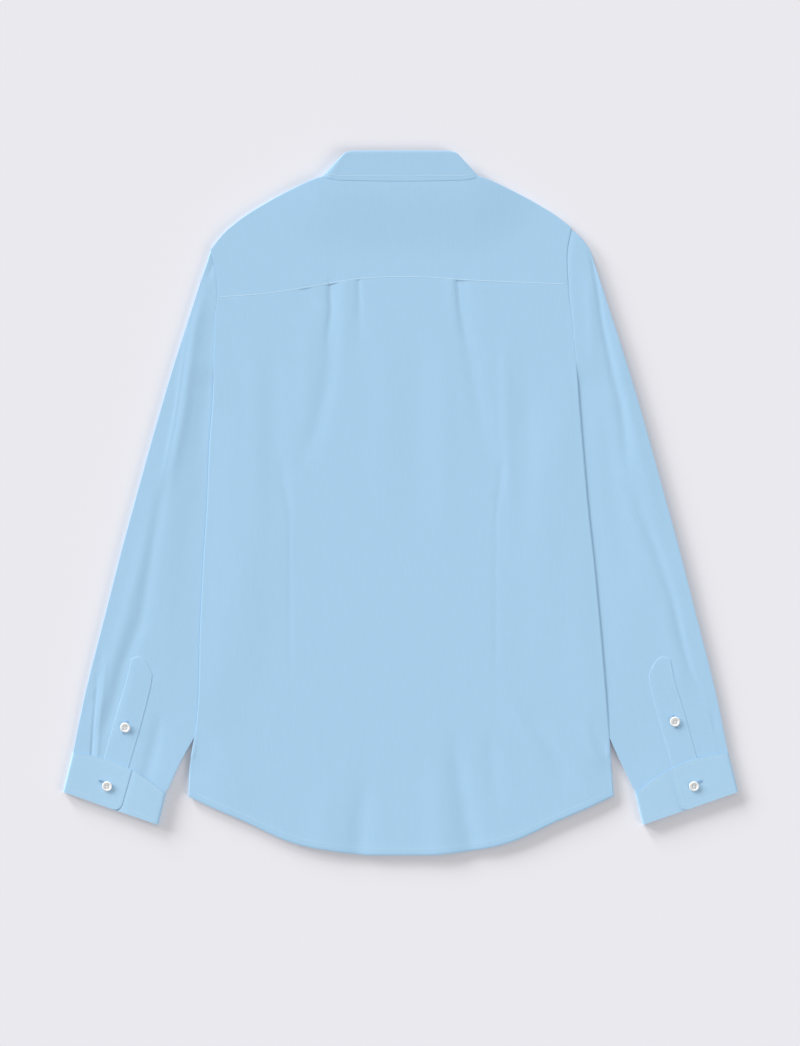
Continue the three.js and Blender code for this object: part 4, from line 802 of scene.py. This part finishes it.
def sleeve_ring(side, at):
    near = np.array((0, 0.12, 0.35, 0.8, 1.9, 3.8, 6.4, 9.5))
    length = sleeve_plan(side, at, np.array((0.5,)), False)[2]
    middle = np.linspace(near[-1] / length, 1 - near[-1] / length, 74)[1:-1]
    share = np.concatenate([near / length, middle, 1 - near[::-1] / length])[::-1]
    x, y, _ = sleeve_plan(side, at, share, False)
    to_edge = np.minimum(share, 1 - share) * length
    top = sleeve_top(side, x, y)
    upper = np.stack([x, y, mix(top / 2, top, round_edge(to_edge, SLEEVE_EDGE_RADIUS))], axis=-1)
    share = np.concatenate([near[1:] / length, np.linspace(near[-1] / length, 1 - near[-1] / length, 26)[1:-1], 1 - near[:0:-1] / length])
    x, y, _ = sleeve_plan(side, at, share, True)
    to_edge = np.minimum(share, 1 - share) * length
    lower = np.stack([x, y, 0.5 * sleeve_top(side, x, y) * (1 - round_edge(to_edge, 5.0))], axis=-1)
    ring = np.concatenate([upper, lower, upper[:1]])
    ring = ring * np.array((side, 1, 1))
    return ring if side > 0 else ring[::-1]


SLEEVE_ROWS = np.concatenate([np.linspace(0, 1, 16), np.linspace(1, 10, 96)[1:], np.linspace(10, 11.995, 34)[1:]])
sleeves = {}
for side, name in ((-1, "left"), (1, "right")):
    rings = np.array([sleeve_ring(side, at) for at in SLEEVE_ROWS])
    angle = side * math.radians(17)
    sleeve_cloth = cloth(f"sleeve_cloth_{name}", SHIRT_BLUE, -angle, 0.8, 0.08)
    sleeve = shell(f"sleeve_{name}_tube", [rings], CLOTH_WALL, sleeve_cloth)
    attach(sleeve, "root")
    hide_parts(f"sleeve_{name}")
    sleeves[side] = sleeve_cloth

# Gauntlets: a folded strip sewn over each sleeve's slit, with a rounded top, its outer edge
# stitched down and its inner edge free, and a button halfway up.
gauntlet_edges = {
    "at": (9.9, 10.2, 11, 12, 12.06),
    "inner_x": (260, 261.5, 270, 284.8, 285.7),
    "inner_y": (-177, -189, -225, -276.6, -279.8),
    "outer_x": (283, 286, 296, 311.4, 312.3),
    "outer_y": (-163.5, -180, -214, -268.8, -272),
}
GAUNTLET_WIDTH = 26.0
GAUNTLET_RISE = 0.24
gauntlet_lines = {name: through(gauntlet_edges, "at", name) for name in gauntlet_edges}


def gauntlet_plan(at, share):
    """Half width and height of a place on the gauntlet, with its rounded top."""
    top = np.clip((10.4 - at) / 0.5, 0, 1)
    corner = 11 * (1 - round_edge(share * GAUNTLET_WIDTH, 11.0))
    x = mix(gauntlet_lines["inner_x"](at), gauntlet_lines["outer_x"](at), share)
    y = mix(gauntlet_lines["inner_y"](at), gauntlet_lines["outer_y"](at), share)
    return x, y + (9 * np.sin(math.pi * share) - corner * 0.4) * top


gauntlet_at = np.concatenate([(9.9, 9.91, 9.925, 9.95), np.linspace(9.98, 12.06, 54)])
gauntlet_share = np.concatenate([(0, 0.012, 0.03, 0.06), np.linspace(0.1, 0.9, 22), (0.94, 0.97, 0.988, 1)])
for side, name in ((-1, "left"), (1, "right")):
    at, share = np.meshgrid(gauntlet_at, gauntlet_share, indexing="ij")
    x, y = gauntlet_plan(at, share)
    from_side = np.minimum(share, 1 - share) * GAUNTLET_WIDTH
    from_top = (at - 9.9) * 55
    z = sleeve_top(side, x, y) + mix(0.02, GAUNTLET_RISE, round_edge(np.minimum(from_side, from_top), 0.5))
    inset = np.minimum(np.where(share > 0.5, from_side, from_side), from_top)
    z = z - 0.06 * np.exp(-(((inset - 2.0) / 0.6) ** 2))
    grid = np.stack([side * x, y, z], axis=-1)
    gauntlet = shell(f"gauntlet_{name}_strip", [grid if side > 0 else grid[:, ::-1]], CLOTH_WALL, sleeves[side])
    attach(gauntlet, "root")
    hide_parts(f"gauntlet_{name}")

    def on_gauntlet(at, share, side=side):
        x, y = gauntlet_plan(at, share)
        return np.stack([side * x, y, sleeve_top(side, x, y) + GAUNTLET_RISE], axis=-1)

    run = np.linspace(10.06, 11.97, 60)
    rim = np.full(60, 0.08)
    outer = on_gauntlet(run[::-1], 1 - rim)
    arch = on_gauntlet(np.full(14, 9.94), np.linspace(0.9, 0.1, 14))
    inner = on_gauntlet(run, rim)
    box = on_gauntlet(np.full(12, 10.55), np.linspace(0.1, 0.9, 12))
    gauntlet_stitches = stitches(f"gauntlet_{name}_stitches", [np.concatenate([outer, arch, inner]), box], seam_thread, pitch=2.4, radius=0.17)
    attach(gauntlet_stitches, "root")

# Cuffs: a stiffened double band sewn to each gathered sleeve end, lapped over itself and
# buttoned, with rounded corners and one row of topstitching round its edge.
CUFF_WIDTH = 106.0
CUFF_LAP_END = 63.4
CUFF_UNDER_END = 31.0
CUFF_CORNER = 8.0
CUFF_TOP = 5.55
CUFF_BLUE = (0.434, 0.676, 0.892)
cuff_sections = {
    "across": (31, 46, 60, 63.6, 66, 80, 94, 103, 104.4, 105.2, 105.8, 106,
               105.7, 104, 80, 54, 28, 2, 0.3, 0, 0.3, 0.9, 1.6, 3, 12,
               28, 44, 55, 60, 62.6, 63.4),
    "z": (4.3, 4.3, 4.6, 5.15, 5.25, 5.25, 5.25, 5.25, 5.22, 5.1, 4.5, 2.6,
          0.4, 0, 0, 0, 0, 0, 0.4, 2.8, 4.9, 5.35, 5.48, 5.5, 5.5,
          5.5, 5.5, 5.5, 5.5, 5.5, 5.5),
}
UNDER_SECTIONS = 3
LAPPED_FROM = 25


def cuff_plan(across, down):
    """Half width and height of a place on a cuff, from its outer fold and from the sleeve."""
    share = across / CUFF_WIDTH
    bow = CUFF_BOW * 4 * share * (1 - share) * (1 - down)
    seam = mix(cuff_corners["top_outer"], cuff_corners["top_inner"], share)
    free = mix(cuff_corners["free_outer"], cuff_corners["free_inner"], share)
    x, y = mix(seam, free, down)
    return x - bow * 0.4, y + bow * 0.9 + 0.8 * (1 - down)


def corner_rise(across, end):
    to_end = abs(end - across)
    if to_end >= CUFF_CORNER:
        return 0
    return (CUFF_CORNER - math.sqrt(CUFF_CORNER**2 - (CUFF_CORNER - to_end) ** 2)) / 42


cuff_columns = []
for index, (across, z) in enumerate(zip(*cuff_sections.values())):
    end = CUFF_UNDER_END if index < UNDER_SECTIONS else CUFF_LAP_END
    ending = index < UNDER_SECTIONS or index > LAPPED_FROM
    reach = 1 - corner_rise(across, end) if ending else 1
    cuff_columns.append([(*cuff_plan(across, reach * down), z) for down in (0, 0.25, 0.5, 0.75, 1)])
cuff_coarse = np.array(cuff_columns).transpose(1, 0, 2)[:, ::-1]
cuff_fine = fine(cuff_coarse, 1.6, 1.6)


def raised(side, points):
    """Points of a cuff put on their side of the shirt and at their height."""
    turned = points * np.array((side, 1.0, 1.0))
    turned[..., 2] *= inner_rise(side, points[..., 0])
    return turned


for side, name in ((-1, "left"), (1, "right")):
    cuff_cloth = cloth(f"cuff_cloth_{name}", CUFF_BLUE, side * math.radians(-24), 0.75, 0.03)
    grid = raised(side, cuff_fine)
    cuff = shell(f"cuff_{name}_band", [grid if side > 0 else grid[:, ::-1]], 0.6, cuff_cloth)
    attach(cuff, "root")
    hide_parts(f"cuff_{name}")
    rows = []
    lap_edge = [(*cuff_plan(CUFF_LAP_END - 4, down), 5.54) for down in np.linspace(0.06, 0.86, 16)]
    free_row = [(*cuff_plan(across, 0.88), 5.54) for across in np.linspace(CUFF_LAP_END - 5, 6, 30)]
    inner_row = [(*cuff_plan(across, 0.88), 5.29) for across in np.linspace(64, 102, 20)]
    seam_row = [(*cuff_plan(across, 0.07), 5.54) for across in np.linspace(CUFF_LAP_END - 4, 6, 30)]
    seam_inner = [(*cuff_plan(across, 0.07), 5.29) for across in np.linspace(64, 102, 20)]
    for row in (lap_edge + free_row, inner_row, seam_row, seam_inner):
        rows.append(raised(side, np.array(row)))
    cuff_stitches = stitches(f"cuff_{name}_stitches", rows, seam_thread, pitch=2.4, radius=0.17)
    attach(cuff_stitches, "root")

# Buttons: small white shirt buttons of moulded resin with a raised rim and four holes, each sewn
# on through its buttonhole with two bars of thread and a short shank that lets it tip.
HOLE_OFFSET = 1.3
HOLE_RADIUS = 0.72


def button_mesh_points():
    """A turned disc on its own axis: the dished face with its holes, the rim and the flat back."""
    dish = np.concatenate([np.linspace(0, 2.7, 22), np.linspace(2.8, 4.9, 13), (5.05, 5.17, 5.24)])
    turned = np.concatenate([dish, (5.25, 5.15, 4.8, 3.0, 0.0)])
    heights = 1.0 + 0.6 * ease(3.0, 3.9, turned) - 0.75 * ease(4.5, 5.25, turned) ** 2
    heights[-5:] = (0.6, 0.3, 0.05, 0, 0)
    angles = np.linspace(0, math.tau, 61)
    x = turned[:, None] * np.cos(angles)
    y = turned[:, None] * np.sin(angles)
    z = heights[:, None] + 0 * x
    hole = np.hypot(np.abs(x) - HOLE_OFFSET, np.abs(y) - HOLE_OFFSET)
    front = np.arange(len(turned))[:, None] < len(dish)
    z = z - np.where(front, 0.8 * (1 - ease(HOLE_RADIUS - 0.12, HOLE_RADIUS + 0.1, hole)), 0)
    return np.stack([x, y, z], axis=-1)


def resin(name, colour):
    """Cast resin with the faint cloudy bands of shell and a polished face."""
    material = bpy.data.materials.new(name)
    material.use_nodes = True
    nodes, links = material.node_tree.nodes, material.node_tree.links
    surface = nodes["Principled BSDF"]
    surface.inputs["Coat Weight"].default_value = 0.5
    surface.inputs["Coat Roughness"].default_value = 0.12
    place = nodes.new("ShaderNodeTexCoord")
    cloud = nodes.new("ShaderNodeTexNoise")
    cloud.inputs["Scale"].default_value = 260
    cloud.inputs["Distortion"].default_value = 1.5
    links.new(place.outputs["Object"], cloud.inputs["Vector"])
    tint = nodes.new("ShaderNodeValToRGB")
    tint.color_ramp.elements[0].position = 0.3
    tint.color_ramp.elements[1].position = 0.7
    tint.color_ramp.elements[0].color = [channel * 0.93 for channel in colour] + [1]
    tint.color_ramp.elements[1].color = [*colour, 1]
    links.new(cloud.outputs["Fac"], tint.inputs["Fac"])
    links.new(tint.outputs["Color"], surface.inputs["Base Color"])
    polish = nodes.new("ShaderNodeMapRange")
    polish.inputs["To Min"].default_value = 0.22
    polish.inputs["To Max"].default_value = 0.36
    links.new(cloud.outputs["Fac"], polish.inputs["Value"])
    links.new(polish.outputs["Result"], surface.inputs["Roughness"])
    return material


button_resin = resin("button_resin", (0.93, 0.93, 0.93))
button_thread = thread("button_thread", (0.80, 0.86, 0.92))
buttonhole_thread = thread("buttonhole_thread", (0.34, 0.57, 0.79))
button_grid = button_mesh_points()


def closed_faces(rows, columns):
    """Faces of a grid that closes on itself across, with its first and last rows each one point."""
    faces = []
    for i in range(rows - 1):
        for j in range(columns - 1):
            faces.append((i * columns + j, (i + 1) * columns + j, (i + 1) * columns + j + 1, i * columns + j + 1))
    return faces


def rounded(points, faces):
    """The same points and faces with points that coincide made one."""
    _, first, merged = np.unique(np.round(points, 4), axis=0, return_index=True, return_inverse=True)
    merged = merged.reshape(-1)
    kept = []
    for face in faces:
        joined = [int(merged[corner]) for corner in face]
        joined = [corner for i, corner in enumerate(joined) if corner != joined[i - 1]]
        if len(joined) > 2:
            kept.append(joined)
    return points[first], kept


def tube(path, radius, sides=8):
    """Points and faces of a round tube along a path."""
    path = np.array(path, float)
    ahead = np.gradient(path, axis=0)
    ahead /= np.linalg.norm(ahead, axis=1, keepdims=True)
    aside = np.cross(ahead, (0.13, 0.2, 0.97))
    aside /= np.linalg.norm(aside, axis=1, keepdims=True)
    up = np.cross(aside, ahead)
    points, faces = [], []
    for centre, a, u in zip(path, aside, up):
        points += [centre + radius * (a * math.cos(t) + u * math.sin(t)) for t in np.arange(sides) * math.tau / sides]
    for ring in range(len(path) - 1):
        for i in range(sides):
            a, b = ring * sides + i, ring * sides + (i + 1) % sides
            faces.append((a, b, b + sides, a + sides))
    faces.append(list(reversed(range(sides))))
    faces.append([(len(path) - 1) * sides + i for i in range(sides)])
    return np.array(points), faces


def placed(points, seat, tip, tip_axis, face_up=True):
    """Button points turned over if it lies face down, tipped about an axis and set on its seat."""
    points = points.copy().reshape(-1, 3)
    if not face_up:
        points = points * np.array((1, -1, -1))
    axis = np.array((math.cos(tip_axis), math.sin(tip_axis), 0))
    c, s = math.cos(tip), math.sin(tip)
    crossed = np.cross(axis, points)
    dotted = points @ axis
    return points * c + crossed * s + axis * dotted[:, None] * (1 - c) + np.array(seat)


def sew_button(node, seat, tip=0.0, tip_axis=0.0, face_up=True, shank=0.0):
    """One button with its thread: two bars through the holes and a wound shank below."""
    base = np.array((seat[0], seat[1], seat[2] + (shank if face_up else -shank)))
    grid = placed(button_grid, base, tip, tip_axis, face_up)
    points, faces = rounded(grid, closed_faces(*button_grid.shape[:2]))
    button = mesh_piece(f"{node}_disc", points, faces, button_resin)
    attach(button, "root")
    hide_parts(node)
    all_points, all_faces = [], []
    for row in (-HOLE_OFFSET, HOLE_OFFSET):
        for strand in (-0.14, 0.14):
            across = np.linspace(-HOLE_OFFSET, HOLE_OFFSET, 9)
            rise = 0.8 + 0.42 * np.sqrt(np.clip(1 - (across / (HOLE_OFFSET + 0.02)) ** 2, 0, 1))
            path = np.stack([across, row + strand + 0 * across, rise], axis=-1)
            bar_points, bar_faces = tube(placed(path, base, tip, tip_axis, face_up), 0.14)
            all_faces += [[corner + len(all_points) for corner in face] for face in bar_faces]
            all_points += list(bar_points)
    top = placed(np.array([(0, 0, 0.3)]), base, tip, tip_axis, face_up)[0]
    foot = np.array(seat) - (0, 0, 0.5 if face_up else -0.5)
    for wind in np.arange(4) * math.tau / 4:
        offset = np.array((math.cos(wind), math.sin(wind), 0)) * 0.45
        bar_points, bar_faces = tube([foot + offset, mix(foot, top, 0.5) + offset * 0.8, top + offset], 0.3)
        all_faces += [[corner + len(all_points) for corner in face] for face in bar_faces]
        all_points += list(bar_points)
    sewn = mesh_piece(f"{node}_thread", np.array(all_points), all_faces, button_thread)
    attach(sewn, "root")


def buttonhole(name, centre, direction, length, up=1.0):
    """A worked buttonhole: dense stitches side by side round a slit."""
    ahead = np.array((direction[0], direction[1], 0.0))
    ahead /= np.linalg.norm(ahead)
    aside = np.cross((0, 0, 1.0), ahead)
    points, faces = [], []
    count = int(length / 0.42)
    for edge in (-1, 1):
        for step in range(count):
            along = (step - (count - 1) / 2) * 0.42
            start = np.array(centre) + ahead * along + aside * edge * 0.22
            end = start + aside * edge * 0.95
            middle = (start + end) / 2 + np.array((0, 0, 0.22 * up))
            bar_points, bar_faces = tube([start, middle, end], 0.2, 6)
            faces += [[corner + len(points) for corner in face] for face in bar_faces]
            points += list(bar_points)
    for end_side in (-1, 1):
        for step in range(6):
            shift = ahead * end_side * (length / 2 + 0.1 + 0.2 * (step % 2))
            start = np.array(centre) + shift + aside * (step - 2.5) * 0.42
            end = start + ahead * end_side * 0.8
            middle = (start + end) / 2 + np.array((0, 0, 0.22 * up))
            bar_points, bar_faces = tube([start, middle, end], 0.2, 6)
            faces += [[corner + len(points) for corner in face] for face in bar_faces]
            points += list(bar_points)
    hole = mesh_piece(name, np.array(points), faces, buttonhole_thread)
    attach(hole, "root")


cuff_run = cuff_corners["top_outer"] - cuff_corners["top_inner"]
button_tips = {(-1, "cuff"): (0.13, -0.3), (1, "cuff"): (0.14, 0.1), (-1, "gauntlet"): (0.15, -0.35), (1, "gauntlet"): (0.1, 0.4)}
gauntlet_buttons = {-1: (288.5, -234.9), 1: (287.4, -228.8)}
for side, name in ((-1, "left"), (1, "right")):
    tip, tip_axis = button_tips[side, "cuff"]
    cuff_top = CUFF_TOP * float(inner_rise(side, np.array(307.4)))
    sew_button(f"cuff_button_{name}", (side * 307.4, -296.4, cuff_top + 0.1), tip, tip_axis, shank=0.3)
    buttonhole(f"cuff_buttonhole_{name}", (side * 308.6, -293.6, cuff_top), (side * cuff_run[0], cuff_run[1]), 14)
    x, y = gauntlet_buttons[side]
    height = float(sleeve_top(side, np.array(x), np.array(y))) + GAUNTLET_RISE
    tip, tip_axis = button_tips[side, "gauntlet"]
    sew_button(f"gauntlet_button_{name}", (side * x, y, height + 0.1), tip, tip_axis, shank=0.3)
    buttonhole(f"gauntlet_buttonhole_{name}", (side * x, y, height + 0.02), (side * 15, -50), 12.5)
sew_button("collar_button", (0, NECK_FRONT_Y + 11, 2.3), face_up=False, shank=0.3)
buttonhole("collar_buttonhole", (0, NECK_FRONT_Y + 11, 2.35), (1, 0), 12.5, -1.0)
for i in range(6):
    y = 228 - 82 * i
    sew_button(f"front_button_{i + 1}", (0, y, 2.3), face_up=False, shank=0.3)
    low = float(front_face(1, np.array(0.0), np.array(float(y))))
    buttonhole(f"front_buttonhole_{i + 1}", (0, y, low - 0.02), (0, 1), 12.5, -1.0)

# Surface, light and camera: a plain pale sheet under the shirt with a faint painted glow of its own
# that lightens the shadows on it, soft light from the upper left with a bright even sky, and a camera straight above.
floor_mesh = bpy.data.meshes.new("pale_surface")
floor_mesh.from_pydata([(-3, -3, -0.0003), (3, -3, -0.0003), (3, 3, -0.0003), (-3, 3, -0.0003)], [], [(0, 1, 2, 3)])
floor = bpy.data.objects.new("pale_surface", floor_mesh)
bpy.context.scene.collection.objects.link(floor)
paper = bpy.data.materials.new("pale_paper_painted_glow")
paper.use_nodes = True
paper_surface = paper.node_tree.nodes["Principled BSDF"]
paper_surface.inputs["Base Color"].default_value = (0.757, 0.750, 0.787, 1)
# Painted glow: the sheet gives off a little light of its own, which lightens the shadows cast on it and the shirt's
# lower edges.
paper_surface.inputs["Emission Color"].default_value = (0.823, 0.815, 0.855, 1)
paper_surface.inputs["Emission Strength"].default_value = 0.08
paper_surface.inputs["Roughness"].default_value = 0.95
paper_surface.inputs["Specular IOR Level"].default_value = 0.1
floor_mesh.materials.append(paper)

SUN_SHARE = 0.38
SUN_HEIGHT = math.radians(14)
SUN_SPREAD = math.radians(13)
SHADOW_WAY = math.radians(-44)
for name, way in (("window_light_left", SHADOW_WAY + SUN_SPREAD), ("window_light_right", SHADOW_WAY - SUN_SPREAD)):
    sun_data = bpy.data.lights.new(name, "SUN")
    sun_data.energy = SUN_SHARE / 2 * math.pi / math.sin(SUN_HEIGHT)
    sun_data.angle = math.radians(17)
    sun = bpy.data.objects.new(name, sun_data)
    sun.rotation_mode = "QUATERNION"
    sun_rays = Vector((math.cos(way), math.sin(way), -math.tan(SUN_HEIGHT)))
    sun.rotation_quaternion = sun_rays.to_track_quat("-Z", "Y")
    bpy.context.scene.collection.objects.link(sun)
FILL_SHARE = 0.18
FILL_HEIGHT = math.radians(33)
fill_data = bpy.data.lights.new("far_wall_light", "SUN")
fill_data.energy = FILL_SHARE * math.pi / math.sin(FILL_HEIGHT)
fill_data.angle = math.radians(30)
fill = bpy.data.objects.new("far_wall_light", fill_data)
fill.rotation_mode = "QUATERNION"
fill.rotation_quaternion = Vector((-0.88, 0.47, -math.tan(FILL_HEIGHT))).to_track_quat("-Z", "Y")
bpy.context.scene.collection.objects.link(fill)
world = bpy.data.worlds.new("even_sky")
world.use_nodes = True
world.node_tree.nodes["Background"].inputs["Color"].default_value = (1, 1, 1, 1)
world.node_tree.nodes["Background"].inputs["Strength"].default_value = 1 - SUN_SHARE - FILL_SHARE
bpy.context.scene.world = world
bpy.context.scene.view_settings.view_transform = "Standard"

camera_data = bpy.data.cameras.new("camera")
camera_data.lens = 100
camera_data.sensor_width = 36
camera_data.clip_end = 20
camera = bpy.data.objects.new("camera", camera_data)
camera.location = (-0.0006, -0.0207, 3.05)
bpy.context.scene.collection.objects.link(camera)
bpy.context.scene.camera = camera
